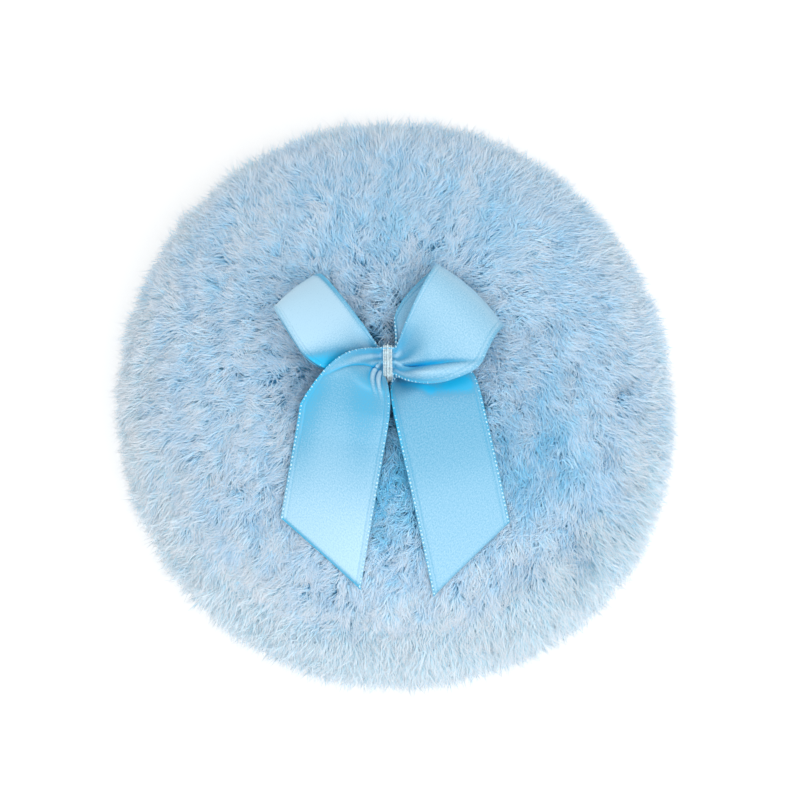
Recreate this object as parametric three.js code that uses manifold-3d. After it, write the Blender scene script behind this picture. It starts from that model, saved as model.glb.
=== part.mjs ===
// Powder puff: a round plush pad with a satin bow sewn to the middle of its crown.
// Millimetres, +Z up. The origin is the middle of the flat face that the pad rests on.
import * as THREE from 'three';
import { mergeVertices } from 'three/addons/utils/BufferGeometryUtils.js';
import Module from 'manifold-3d';

const wasm = await Module();
wasm.setup();

// Pad, measured over the tips of the pile
const PUFF_WIDTH = 80;
const PUFF_LENGTH = 83.6; // front to back
const SEAM_HEIGHT = 17; // seam above the face that the pad rests on
const CROWN_RISE = 21; // seam to crown
const BASE_DEPTH = 19; // seam to underside before the pad's weight flattens it
const FULLNESS = 2.2; // bulge of the sides: 2 is an ellipse, more is fuller
const SEAM_NIP = 0.8; // the seam draws the sides in
const SEAM_NIP_HEIGHT = 1.8;
const TUFT_DEPTH = 3.4; // the bow's stitch draws the crown down
const TUFT_RADIUS = 7.5;

// Covers: knitted backing with its pile
const COVER_THICKNESS = 7;
const BACKING_TUFT_DEPTH = 2;
const SEAM_GAP = 0.3;
const SEAM_ALLOWANCE = 5; // backing turned inwards along the seam
const SEAM_ALLOWANCE_THICKNESS = 1.2;
const CLEARANCE = 0.3; // between any two pieces that touch

// Seam stitches
const STITCH_COUNT = 24; // holes round the seam
const CLOSING_STITCHES = 6; // stitches that close the opening the filling went in by
const STITCH_INSET = 1.8; // stitch line from the inside of the cover
const SEAM_THREAD_DIAMETER = 0.4;
const STITCH_SLANT = 0.3; // sideways run of a stitch as it goes through both layers
const STITCH_END = 0.4; // share of a stitch that the thread runs on past its last hole
const THREAD_KNOT_DIAMETER = 1.2;

// Ribbon
const RIBBON_WIDTH = 12.5;
const RIBBON_THICKNESS = 0.3;
const RIBBON_LIE = 0.5; // ribbon's middle surface above the pile it lies on
const PLEAT_COUNT = 2;
const PLEAT_DEPTH = 0.3;
const WAIST_HEIGHT = 3.8; // ribbon gathered under the thread
const WAIST_LAYER_PITCH = 0.95; // three passes of ribbon lie over each other at the waist
const WAIST_SETTLE = 5; // run in which the ribbon comes from the waist up to the crown
const LEFT_LOOP_LENGTH = 15.3;
const LEFT_LOOP_TURN = 48.5; // degrees from the waist's own line
const LEFT_LOOP_BEND = 8; // run in which the loop makes that turn
const LEFT_LOOP_SPREAD = 8; // run in which the ribbon opens to its full width
const LEFT_LOOP_OPENING = 2.4;
const LEFT_LOOP_ROLL = 44; // degrees that the fold leans up at its outer edge
const LEFT_LOOP_SKEW = 0.06; // share that the loop is longer at its outer edge
const RIGHT_LOOP_LENGTH = 14.4;
const RIGHT_LOOP_TURN = 48.5;
const RIGHT_LOOP_BEND = 5;
const RIGHT_LOOP_SPREAD = 8;
const RIGHT_LOOP_OPENING = 3.6;
const RIGHT_LOOP_ROUND = 0.055; // share that the loop is longer in the middle of its fold
const RIGHT_LOOP_LIP = 2.4; // its inner edge puffs out near the waist
const TAIL_OPEN = 9.5; // run from the waist in which a tail's edges are drawn straight
const LEFT_TAIL_LENGTH = 28.7;
const LEFT_TAIL_TURN = -80;
const LEFT_TAIL_BEND = 8;
const LEFT_TAIL_SPREAD = 8.5;
const LEFT_TAIL_ARCH = 2.2; // the left tail comes over the left loop
const LEFT_TAIL_ARCH_AT = 4.6;
const LEFT_TAIL_ARCH_RUN = 3.6;
const LEFT_TAIL_FALL_FROM = 5; // then it comes down on to the pile
const LEFT_TAIL_FALL_RUN = 9;
const RIGHT_TAIL_LENGTH = 30.3;
const RIGHT_TAIL_TURN = -77.3;
const RIGHT_TAIL_BEND = 10.2;
const RIGHT_TAIL_SPREAD = 7.5;
const TAIL_CUT_SLANT = 7.5; // inner edge longer than outer edge at the slanted cut

// Threads of the bow
const TIE_THREAD_DIAMETER = 0.22;
const TIE_TURNS = 3;
const TIE_PITCH = 0.65;
const ANCHOR_THREAD_DIAMETER = 0.22;
const ANCHOR_LEG_PITCH = 0.7; // between the two legs that go down through the crown
const ANCHOR_KNOT_DIAMETER = 2.2;
const BOW_SEAT = 0.5; // stitch above the bottom of the tuft

// Fineness of the facets
const PAD_SEGMENTS = 34;
const PAD_RINGS = 11;
const HOLE_SIDES = 6;
const THREAD_SIDES = 6;
const STITCH_STEPS = 10;
const TURN_STEPS = 24;
const RIBBON_CELLS = 8;
const TAIL_ROWS = 11;
const LOOP_ROWS = 23;
const KNOT_SIDES = 8;

// Sizes that follow from the ones above
const PAD_RADIUS = PUFF_WIDTH / 2;
const OVAL = PUFF_LENGTH / PUFF_WIDTH;
const LINING_RADIUS = PAD_RADIUS - COVER_THICKNESS;
const LINING_RISE = CROWN_RISE - COVER_THICKNESS;
const LINING_DEPTH = BASE_DEPTH - COVER_THICKNESS;
const HALF_GAP = SEAM_GAP / 2;
const FLANGE_TOP = HALF_GAP + SEAM_ALLOWANCE_THICKNESS;
const FLANGE_RADIUS = LINING_RADIUS - SEAM_ALLOWANCE;
const STITCH_RADIUS = LINING_RADIUS - STITCH_INSET;
const STITCH_RISE = FLANGE_TOP + CLEARANCE + SEAM_THREAD_DIAMETER / 2;
const STITCH_HOLE_RADIUS = SEAM_THREAD_DIAMETER / 2 + STITCH_SLANT + CLEARANCE;
const ANCHOR_HOLE_RADIUS = (ANCHOR_LEG_PITCH + ANCHOR_THREAD_DIAMETER) / 2 + CLEARANCE;
const WAIST_HALF_LENGTH = (TIE_TURNS * TIE_PITCH + TIE_THREAD_DIAMETER) / 2;
const STACK_HALF_WIDTH = (WAIST_HEIGHT + RIBBON_THICKNESS) / 2;
const STACK_HALF_HEIGHT = WAIST_LAYER_PITCH + PLEAT_DEPTH + RIBBON_THICKNESS / 2;
const TIE_OFFSET = CLEARANCE + TIE_THREAD_DIAMETER / 2;
const ANCHOR_OFFSET = TIE_OFFSET + TIE_THREAD_DIAMETER / 2 + CLEARANCE + ANCHOR_THREAD_DIAMETER / 2;
const WAIST_Z = crownHeight(0) + BOW_SEAT + ANCHOR_THREAD_DIAMETER / 2 + ANCHOR_OFFSET + STACK_HALF_HEIGHT;
const ANCHOR_KNOT_Z = liningHeight(0) - CLEARANCE - ANCHOR_KNOT_DIAMETER / 2;

// Small helpers

function smooth(x) {
  return THREE.MathUtils.smoothstep(x, 0, 1);
}

function bulge(share) {
  return (1 - Math.min(share, 1) ** FULLNESS) ** (1 / FULLNESS);
}

function tuft(depth, r) {
  return depth * Math.exp(-((r / TUFT_RADIUS) ** 2));
}

// Height of the crown without its tuft, over the distance from the axis
function domeHeight(r) {
  return SEAM_HEIGHT + HALF_GAP + (CROWN_RISE - HALF_GAP) * bulge(r / PAD_RADIUS);
}

function crownHeight(r) {
  return domeHeight(r) - tuft(TUFT_DEPTH, r);
}

function liningHeight(r) {
  const rise = LINING_RISE - HALF_GAP;
  return SEAM_HEIGHT + HALF_GAP + rise * bulge(r / LINING_RADIUS) - tuft(BACKING_TUFT_DEPTH, r);
}

// Closed triangles as one solid, with shared corners joined and empty triangles dropped
function solidOf(geometry) {
  const bare = new THREE.BufferGeometry();
  bare.setAttribute('position', geometry.getAttribute('position'));
  bare.setIndex(geometry.getIndex());
  const joined = mergeVertices(bare, 1e-4);
  const index = joined.getIndex().array;
  const triVerts = [];
  for (let i = 0; i < index.length; i += 3) {
    const [a, b, c] = [index[i], index[i + 1], index[i + 2]];
    if (a !== b && b !== c && c !== a) triVerts.push(a, b, c);
  }
  return new wasm.Manifold(new wasm.Mesh({
    numProp: 3,
    vertProperties: new Float32Array(joined.getAttribute('position').array),
    triVerts: new Uint32Array(triVerts),
  }));
}

function geometryOf(solid) {
  const { vertProperties, triVerts } = solid.getMesh();
  const geometry = new THREE.BufferGeometry();
  geometry.setAttribute('position', new THREE.BufferAttribute(vertProperties, 3));
  geometry.setIndex(new THREE.BufferAttribute(triVerts, 1));
  geometry.computeVertexNormals();
  return geometry;
}

function piece(name, solid, colour, roughness) {
  const material = new THREE.MeshStandardMaterial({ color: colour, roughness, metalness: 0 });
  const mesh = new THREE.Mesh(geometryOf(solid), material);
  mesh.name = name;
  return mesh;
}

// Profile of [radius, height] points turned about the Z axis, listed anticlockwise, and stretched to the pad's oval
function revolve(profile) {
  const points = profile.map(([r, z]) => new THREE.Vector2(Math.max(r, 0), z));
  return solidOf(new THREE.LatheGeometry(points, PAD_SEGMENTS).rotateX(Math.PI / 2).scale(1, OVAL, 1));
}

function ball(diameter, position) {
  const sphere = new THREE.SphereGeometry(diameter / 2, KNOT_SIDES, KNOT_SIDES / 2);
  return solidOf(sphere.translate(position.x, position.y, position.z));
}

// Round thread along a curve
function thread(curve, diameter, steps) {
  const section = new THREE.Shape();
  for (let i = 0; i < THREAD_SIDES; i += 1) {
    const angle = (2 * Math.PI * i) / THREAD_SIDES;
    const x = (diameter / 2) * Math.cos(angle);
    const y = (diameter / 2) * Math.sin(angle);
    if (i === 0) section.moveTo(x, y);
    else section.lineTo(x, y);
  }
  section.closePath();
  curve.arcLengthDivisions = steps * 8;
  return solidOf(new THREE.ExtrudeGeometry(section, { steps, extrudePath: curve, bevelEnabled: false }));
}

class FormulaCurve extends THREE.Curve {
  constructor(formula) {
    super();
    this.formula = formula;
  }

  getPoint(t) {
    return this.formula(t);
  }
}

// Least space between stretches of a thread that lie more than a given run apart
function leastGap(curve, diameter, run) {
  const count = 400;
  const points = curve.getSpacedPoints(count);
  const skip = Math.ceil((run / curve.getLength()) * count);
  let least = Infinity;
  for (let i = 0; i < count; i += 1) {
    for (let j = i + skip; j <= count; j += 1) {
      least = Math.min(least, points[i].distanceTo(points[j]));
    }
  }
  return least - diameter;
}

// Pad

// Quarter outline from the axis to the seam, as [radius, height above or below the seam]
function quarterOutline(radius, rise, nip) {
  const points = [];
  for (let i = 0; i <= PAD_RINGS; i += 1) {
    const angle = (Math.PI / 2) * (i / PAD_RINGS);
    const lift = HALF_GAP + (rise - HALF_GAP) * Math.cos(angle) ** (2 / FULLNESS);
    const drawnIn = nip * Math.exp(-((lift / SEAM_NIP_HEIGHT) ** 2));
    points.push([radius * Math.sin(angle) ** (2 / FULLNESS) - drawnIn, lift]);
  }
  points[PAD_RINGS][1] = HALF_GAP;
  return points;
}

function stitchHoles() {
  const holes = [];
  for (let i = 0; i < STITCH_COUNT; i += 1) {
    const angle = (2 * Math.PI * i) / STITCH_COUNT;
    const length = 2 * (FLANGE_TOP + CLEARANCE);
    const hole = new THREE.CylinderGeometry(STITCH_HOLE_RADIUS, STITCH_HOLE_RADIUS, length, HOLE_SIDES);
    hole.rotateX(Math.PI / 2);
    hole.translate(STITCH_RADIUS * Math.cos(angle), OVAL * STITCH_RADIUS * Math.sin(angle), SEAM_HEIGHT);
    holes.push(solidOf(hole));
  }
  return holes.reduce((all, hole) => all.add(hole));
}

function topCover(holes) {
  const outer = quarterOutline(PAD_RADIUS, CROWN_RISE, SEAM_NIP)
    .filter(([r]) => r > ANCHOR_HOLE_RADIUS)
    .map(([r, lift]) => [r, SEAM_HEIGHT + lift - tuft(TUFT_DEPTH, r)]);
  const inner = quarterOutline(LINING_RADIUS, LINING_RISE, 0)
    .filter(([r, lift]) => r > ANCHOR_HOLE_RADIUS && lift > FLANGE_TOP)
    .map(([r, lift]) => [r, SEAM_HEIGHT + lift - tuft(BACKING_TUFT_DEPTH, r)]);
  const rim = [ANCHOR_HOLE_RADIUS, crownHeight(ANCHOR_HOLE_RADIUS)];
  return revolve([
    [ANCHOR_HOLE_RADIUS, liningHeight(ANCHOR_HOLE_RADIUS)],
    ...inner,
    [LINING_RADIUS, SEAM_HEIGHT + FLANGE_TOP],
    [FLANGE_RADIUS, SEAM_HEIGHT + FLANGE_TOP],
    [FLANGE_RADIUS, SEAM_HEIGHT + HALF_GAP],
    ...outer.reverse(),
    rim,
    [ANCHOR_HOLE_RADIUS, liningHeight(ANCHOR_HOLE_RADIUS)],
  ]).subtract(holes);
}

function bottomCover(holes) {
  const outer = quarterOutline(PAD_RADIUS, BASE_DEPTH, SEAM_NIP)
    .map(([r, lift]) => [r, SEAM_HEIGHT - lift])
    .filter(([, z]) => z > 0);
  const inner = quarterOutline(LINING_RADIUS, LINING_DEPTH, 0)
    .filter(([, lift]) => lift > FLANGE_TOP)
    .map(([r, lift]) => [r, SEAM_HEIGHT - lift]);
  const restShare = (1 - ((SEAM_HEIGHT - HALF_GAP) / (BASE_DEPTH - HALF_GAP)) ** FULLNESS);
  return revolve([
    [0, 0],
    [PAD_RADIUS * restShare ** (1 / FULLNESS), 0],
    ...outer,
    [FLANGE_RADIUS, SEAM_HEIGHT - HALF_GAP],
    [FLANGE_RADIUS, SEAM_HEIGHT - FLANGE_TOP],
    [LINING_RADIUS, SEAM_HEIGHT - FLANGE_TOP],
    ...inner.reverse(),
  ]).subtract(holes);
}

// Wad of loose fibre, waisted round the turned-in seam and hollowed for the bow's knot
function fibreFilling() {
  const radius = LINING_RADIUS - CLEARANCE;
  const groove = STITCH_RISE + SEAM_THREAD_DIAMETER / 2 + CLEARANCE;
  const pocket = ANCHOR_KNOT_DIAMETER / 2 + CLEARANCE;
  const upper = quarterOutline(radius, LINING_RISE - CLEARANCE, 0)
    .filter(([r, lift]) => r > pocket && lift > groove)
    .map(([r, lift]) => [r, SEAM_HEIGHT + lift - tuft(BACKING_TUFT_DEPTH, r)]);
  const lower = quarterOutline(radius, LINING_DEPTH - CLEARANCE, 0)
    .filter(([, lift]) => lift > groove)
    .map(([r, lift]) => [r, SEAM_HEIGHT - lift]);
  return revolve([
    ...lower,
    [FLANGE_RADIUS - CLEARANCE, SEAM_HEIGHT - groove],
    [FLANGE_RADIUS - CLEARANCE, SEAM_HEIGHT + groove],
    ...upper.reverse(),
    [pocket, liningHeight(pocket) - CLEARANCE],
    [pocket, ANCHOR_KNOT_Z - pocket],
    [0, ANCHOR_KNOT_Z - pocket],
  ]);
}

// Running stitch from one hole to another: over the upper layer, down, under the lower one, up
function runningStitch(firstHole, stitches) {
  const pitch = (2 * Math.PI) / STITCH_COUNT;
  const slant = STITCH_SLANT / (OVAL * STITCH_RADIUS) / pitch;
  const curve = new FormulaCurve((t) => {
    const along = firstHole - STITCH_END + t * (stitches - 1 + 2 * STITCH_END);
    const nearest = Math.round(along);
    const through = smooth((along - nearest) / (2 * slant) + 0.5);
    const side = nearest % 2 === 0 ? 1 : -1;
    const z = SEAM_HEIGHT + side * STITCH_RISE * (1 - 2 * through);
    const angle = along * pitch;
    return new THREE.Vector3(STITCH_RADIUS * Math.cos(angle), OVAL * STITCH_RADIUS * Math.sin(angle), z);
  });
  const strand = thread(curve, SEAM_THREAD_DIAMETER, stitches * STITCH_STEPS);
  const knots = [0, 1].map((t) => ball(THREAD_KNOT_DIAMETER, curve.getPoint(t)));
  return knots.reduce((all, knot) => all.add(knot), strand);
}

// Bow

// Path of the ribbon's middle line in plan: it leaves the waist sideways and turns with a soft ease
function planPath(side, turn, bend, length) {
  const step = 0.05;
  const count = Math.ceil(length / step) + 1;
  const rows = [{ x: side * WAIST_HALF_LENGTH, y: 0, heading: 0 }];
  for (let i = 1; i <= count; i += 1) {
    const heading = THREE.MathUtils.degToRad(turn) * Math.sin((Math.PI / 2) * Math.min((i * step) / bend, 1));
    const last = rows[i - 1];
    const middle = (heading + last.heading) / 2;
    rows.push({
      x: last.x + side * step * Math.cos(middle),
      y: last.y + step * Math.sin(middle),
      heading,
    });
  }
  return (run) => {
    const place = Math.min(run / step, count - 1);
    const before = rows[Math.floor(place)];
    const after = rows[Math.floor(place) + 1];
    const share = place - Math.floor(place);
    const mix = (key) => THREE.MathUtils.lerp(before[key], after[key], share);
    const heading = mix('heading');
    return { x: mix('x'), y: mix('y'), acrossX: -side * Math.sin(heading), acrossY: Math.cos(heading) };
  };
}

// Middle layer of ribbon over its plan: the waist, then the crown
function layerHeight({ x, y }) {
  const settle = smooth((Math.hypot(x, y) - WAIST_HALF_LENGTH) / WAIST_SETTLE);
  const crown = domeHeight(Math.hypot(x, y / OVAL));
  return THREE.MathUtils.lerp(WAIST_Z, crown + RIBBON_LIE + WAIST_LAYER_PITCH, settle);
}

function halfWidth(run, spread) {
  return THREE.MathUtils.lerp(WAIST_HEIGHT, RIBBON_WIDTH, smooth(run / spread)) / 2;
}

function pleat(run, spread, u) {
  return PLEAT_DEPTH * (1 - smooth(run / spread)) * Math.cos(PLEAT_COUNT * Math.PI * u);
}

// Plan of a stretch with its outer and inner edges drawn towards straight lines, up to the run where it lies open. The
// lip puffs the inner edge out near the waist
function drawEdges(shape, open, [outer, inner], lip) {
  return (run, u) => {
    const share = Math.min(run / open, 1);
    const hump = 4 * share ** 0.45 * (1 - share ** 0.45);
    const plan = shape(run, u);
    for (const [edge, amount, push] of [[1, outer, 0], [-1, inner, lip]]) {
      const line = shape(0, edge).lerp(shape(open, edge), share);
      const move = line.sub(shape(Math.min(run, open), edge)).multiplyScalar(amount);
      const out = shape(open / 2, edge).sub(shape(open / 2, 0)).normalize();
      plan.addScaledVector(move.addScaledVector(out, push * hump), ((1 + edge * u) / 2) ** 2);
    }
    return plan;
  };
}

// A tail lies on the pile and ends in a slanted cut. u runs from -1 at its inner edge to 1 at its outer edge
function tailPoint({ side, turn, bend, length, spread, straight, layer, arch }) {
  const path = planPath(side, turn, bend, length + TAIL_CUT_SLANT);
  const shape = (run, u) => {
    const { x, y, acrossX, acrossY } = path(run);
    const reach = u * halfWidth(run, spread);
    return new THREE.Vector2(x + reach * acrossX, y + reach * acrossY);
  };
  const planAt = drawEdges(shape, TAIL_OPEN, straight, 0);
  return (v, u) => {
    const run = v * (length - (TAIL_CUT_SLANT / 2) * u);
    const plan = planAt(run, u);
    const fall = smooth((run - LEFT_TAIL_FALL_FROM) / LEFT_TAIL_FALL_RUN);
    const level = WAIST_LAYER_PITCH * THREE.MathUtils.lerp(layer, -1, fall);
    const hump = arch * Math.exp(-(((run - LEFT_TAIL_ARCH_AT) / LEFT_TAIL_ARCH_RUN) ** 2));
    const rise = hump * smooth(run / WAIST_HALF_LENGTH);
    const z = layerHeight(plan) + level + rise + pleat(run, spread, u);
    return new THREE.Vector3(plan.x, plan.y, z);
  };
}

// A loop runs out to its fold as the front layer (v below one half) and back as the layer under it
function loopPoint({ side, turn, bend, length, spread, straight, lip, opening, roll, skew, round, layer }) {
  const longest = length * (1 + skew + round);
  const path = planPath(side, turn, bend, longest);
  const leanAt = (run) => THREE.MathUtils.degToRad(roll) * (run / length) ** 1.3;
  const shape = (run, u) => {
    const { x, y, acrossX, acrossY } = path(run);
    const reach = u * halfWidth(run, spread) * Math.cos(leanAt(run));
    return new THREE.Vector2(x + reach * acrossX, y + reach * acrossY);
  };
  const planAt = drawEdges(shape, length, straight, lip);
  const widest = 0.75; // share of the length at which the two layers stand furthest apart
  const peak = widest ** 1.5 * Math.sqrt(1 - widest);
  return (v, u) => {
    const share = Math.sin(Math.PI * v) ** 2;
    const run = length * share * (1 + share * (skew * u + round * (1 - u * u)));
    const plan = planAt(run, u);
    const apart = (opening / peak) * share ** 1.5 * Math.sqrt(1 - share) + WAIST_LAYER_PITCH * (1 - share);
    const front = v < 0.5 ? apart : 0;
    const lift = (1 - u) * halfWidth(run, spread) * Math.sin(leanAt(length * share));
    const level = WAIST_LAYER_PITCH * (layer - 1) + front + lift;
    return new THREE.Vector3(plan.x, plan.y, layerHeight(plan) + level + pleat(run, spread, u));
  };
}

// Rows of points across the ribbon, from the end of one tail to the end of the other
function ribbonRows() {
  const leftTail = tailPoint({
    side: -1,
    turn: LEFT_TAIL_TURN,
    bend: LEFT_TAIL_BEND,
    length: LEFT_TAIL_LENGTH,
    spread: LEFT_TAIL_SPREAD,
    straight: [0.4, 1],
    layer: 1,
    arch: LEFT_TAIL_ARCH,
  });
  const rightLoop = loopPoint({
    side: 1,
    turn: RIGHT_LOOP_TURN,
    bend: RIGHT_LOOP_BEND,
    length: RIGHT_LOOP_LENGTH,
    spread: RIGHT_LOOP_SPREAD,
    straight: [0.95, 0],
    lip: RIGHT_LOOP_LIP,
    opening: RIGHT_LOOP_OPENING,
    roll: 0,
    skew: 0,
    round: RIGHT_LOOP_ROUND,
    layer: 1,
  });
  const leftLoop = loopPoint({
    side: -1,
    turn: LEFT_LOOP_TURN,
    bend: LEFT_LOOP_BEND,
    length: LEFT_LOOP_LENGTH,
    spread: LEFT_LOOP_SPREAD,
    straight: [1, 0.2],
    lip: 0,
    opening: LEFT_LOOP_OPENING,
    roll: LEFT_LOOP_ROLL,
    skew: LEFT_LOOP_SKEW,
    round: 0,
    layer: 0,
  });
  const rightTail = tailPoint({
    side: 1,
    turn: RIGHT_TAIL_TURN,
    bend: RIGHT_TAIL_BEND,
    length: RIGHT_TAIL_LENGTH,
    spread: RIGHT_TAIL_SPREAD,
    straight: [0, 1],
    layer: -1,
    arch: 0,
  });
  const across = (point, v) => {
    const row = [];
    for (let i = 0; i <= RIBBON_CELLS; i += 1) row.push(point(v, (2 * i) / RIBBON_CELLS - 1));
    return row;
  };
  const stretch = (point, count, from, to) => {
    const rows = [];
    for (let i = 0; i < count; i += 1) rows.push(across(point, THREE.MathUtils.lerp(from, to, i / (count - 1))));
    return rows;
  };
  return [
    ...stretch(leftTail, TAIL_ROWS, 1, 0),
    ...stretch(rightLoop, LOOP_ROWS, 0, 1),
    ...stretch(leftLoop, LOOP_ROWS, 0, 1),
    ...stretch(rightTail, TAIL_ROWS, 0, 1),
  ];
}

// Grid of points given a thickness: one face each side, joined round the edges
function sheet(rows, thickness) {
  const high = rows.length;
  const wide = rows[0].length;
  const at = (i, j) => rows[THREE.MathUtils.clamp(i, 0, high - 1)][THREE.MathUtils.clamp(j, 0, wide - 1)];
  const positions = [];
  for (const side of [0.5, -0.5]) {
    for (let i = 0; i < high; i += 1) {
      for (let j = 0; j < wide; j += 1) {
        const along = at(i + 1, j).clone().sub(at(i - 1, j));
        const across = at(i, j + 1).clone().sub(at(i, j - 1));
        const normal = along.cross(across).normalize();
        positions.push(...at(i, j).clone().addScaledVector(normal, side * thickness).toArray());
      }
    }
  }
  const index = [];
  const quad = (a, b, c, d) => index.push(a, b, c, a, c, d);
  const top = (i, j) => i * wide + j;
  const under = (i, j) => high * wide + i * wide + j;
  for (let i = 0; i < high - 1; i += 1) {
    for (let j = 0; j < wide - 1; j += 1) {
      quad(top(i, j), top(i + 1, j), top(i + 1, j + 1), top(i, j + 1));
      quad(under(i, j), under(i, j + 1), under(i + 1, j + 1), under(i + 1, j));
    }
    quad(top(i, 0), under(i, 0), under(i + 1, 0), top(i + 1, 0));
    quad(top(i, wide - 1), top(i + 1, wide - 1), under(i + 1, wide - 1), under(i, wide - 1));
  }
  for (let j = 0; j < wide - 1; j += 1) {
    quad(top(0, j), top(0, j + 1), under(0, j + 1), under(0, j));
    quad(top(high - 1, j), under(high - 1, j), under(high - 1, j + 1), top(high - 1, j + 1));
  }
  const geometry = new THREE.BufferGeometry();
  geometry.setAttribute('position', new THREE.Float32BufferAttribute(positions, 3));
  geometry.setIndex(index);
  return solidOf(geometry);
}

// Closed outline at a given distance outside the waist, from the middle of its underside
function waistOutline(offset) {
  const outline = new THREE.Path();
  const [w, h] = [STACK_HALF_WIDTH, STACK_HALF_HEIGHT];
  const quarter = Math.PI / 2;
  outline.moveTo(0, -h - offset);
  outline.lineTo(w, -h - offset);
  outline.absarc(w, -h, offset, -quarter, 0, false);
  outline.lineTo(w + offset, h);
  outline.absarc(w, h, offset, 0, quarter, false);
  outline.lineTo(-w, h + offset);
  outline.absarc(-w, h, offset, quarter, 2 * quarter, false);
  outline.lineTo(-w - offset, -h);
  outline.absarc(-w, -h, offset, 2 * quarter, 3 * quarter, false);
  outline.lineTo(0, -h - offset);
  return outline;
}

// Thread wound round the waist
function tieThread() {
  const outline = waistOutline(TIE_OFFSET);
  const curve = new FormulaCurve((t) => {
    const turns = TIE_TURNS * t;
    const { x, y } = outline.getPointAt(turns % 1);
    return new THREE.Vector3(TIE_PITCH * (turns - TIE_TURNS / 2), x, WAIST_Z + y);
  });
  const solid = thread(curve, TIE_THREAD_DIAMETER, TIE_TURNS * TURN_STEPS);
  const gap = leastGap(curve, TIE_THREAD_DIAMETER, outline.getLength() / 2);
  console.log(`bow_tie_thread: least gap to itself ${gap.toFixed(2)} mm`);
  return solid;
}

// Stitch that goes up through the crown, over the waist and down again to a knot under the backing
function anchorThread() {
  const outline = waistOutline(ANCHOR_OFFSET);
  const leg = ANCHOR_LEG_PITCH / 2;
  const start = leg / outline.getLength();
  const steps = TURN_STEPS - 1;
  const points = [];
  for (let i = 0; i <= steps; i += 1) {
    const { x, y } = outline.getPointAt(THREE.MathUtils.lerp(start, 1 - start, i / steps));
    points.push(new THREE.Vector3(0, x, WAIST_Z + y));
  }
  points.unshift(new THREE.Vector3(0, leg, ANCHOR_KNOT_Z), new THREE.Vector3(0, leg, crownHeight(0)));
  points.push(new THREE.Vector3(0, -leg, crownHeight(0)), new THREE.Vector3(0, -leg, ANCHOR_KNOT_Z));
  const strand = thread(new THREE.CatmullRomCurve3(points), ANCHOR_THREAD_DIAMETER, 2 * TURN_STEPS);
  return strand.add(ball(ANCHOR_KNOT_DIAMETER, new THREE.Vector3(0, 0, ANCHOR_KNOT_Z)));
}

const PLUSH_BLUE = 0xafcde1;
const SATIN_BLUE = 0x8fccee;
const THREAD_WHITE = 0xeef4f8;
const THREAD_BLUE = 0xa9c9de;
const FIBRE_WHITE = 0xf3f3f0;

const holes = stitchHoles();
const seamStitches = STITCH_COUNT - CLOSING_STITCHES;

const pad = new THREE.Group();
pad.add(
  piece('top_cover', topCover(holes), PLUSH_BLUE, 1),
  piece('bottom_cover', bottomCover(holes), PLUSH_BLUE, 1),
  piece('fibre_filling', fibreFilling(), FIBRE_WHITE, 1),
  piece('seam_thread', runningStitch(0, seamStitches), THREAD_BLUE, 0.8),
  piece('closing_thread', runningStitch(seamStitches, CLOSING_STITCHES), THREAD_BLUE, 0.8),
);

const bow = new THREE.Group();
bow.add(
  piece('bow_ribbon', sheet(ribbonRows(), RIBBON_THICKNESS), SATIN_BLUE, 0.4),
  piece('bow_tie_thread', tieThread(), THREAD_WHITE, 0.7),
  piece('bow_anchor_thread', anchorThread(), THREAD_WHITE, 0.7),
);

const puff = new THREE.Group();
puff.add(pad, bow);

export default puff;
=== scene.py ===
"""Powder puff: a round plush pad with a satin bow sewn to its crown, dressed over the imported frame.

Metres, +Z up. The origin is the middle of the flat face that the pad rests on.
"""
import math

import bpy
import numpy as np
from bpy.props import FloatProperty, FloatVectorProperty, IntProperty, PointerProperty
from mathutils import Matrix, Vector


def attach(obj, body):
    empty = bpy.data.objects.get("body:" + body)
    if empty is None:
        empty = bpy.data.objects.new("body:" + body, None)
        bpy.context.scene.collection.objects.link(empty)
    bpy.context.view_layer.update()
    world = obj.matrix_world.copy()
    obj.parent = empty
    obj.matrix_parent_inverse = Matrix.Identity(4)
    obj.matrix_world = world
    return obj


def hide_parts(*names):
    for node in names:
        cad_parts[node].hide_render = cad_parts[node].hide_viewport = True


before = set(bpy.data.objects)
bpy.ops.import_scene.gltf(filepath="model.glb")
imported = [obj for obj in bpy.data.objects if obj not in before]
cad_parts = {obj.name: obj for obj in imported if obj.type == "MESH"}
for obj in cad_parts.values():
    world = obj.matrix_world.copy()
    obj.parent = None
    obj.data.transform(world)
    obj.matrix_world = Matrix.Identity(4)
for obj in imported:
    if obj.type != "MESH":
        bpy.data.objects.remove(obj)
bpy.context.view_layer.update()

bl_info = {
    "name": "Powder Puff",
    "version": (1, 0, 0),
    "blender": (4, 5, 0),
    "location": "View3D > Sidebar > Puff",
    "description": "Makes a plush powder puff with a satin bow",
    "category": "Add Mesh",
}

MM = 0.001
UV_NAME = "OFBake"
UP = np.array([0, 0, 1])
FLAT = np.array([1, 1, 0])
GOLDEN_SHARE = 0.6180339887
PLACE_STEPS = (0.7548776662466927, 0.5698402909980532)

# Fineness of the grids
PAD_SEGMENTS = 96
CROWN_RINGS = 30
BASE_RINGS = 24
TAIL_ROWS = 110
LOOP_ROWS = 180
WAIST_ROWS = 9

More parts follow.
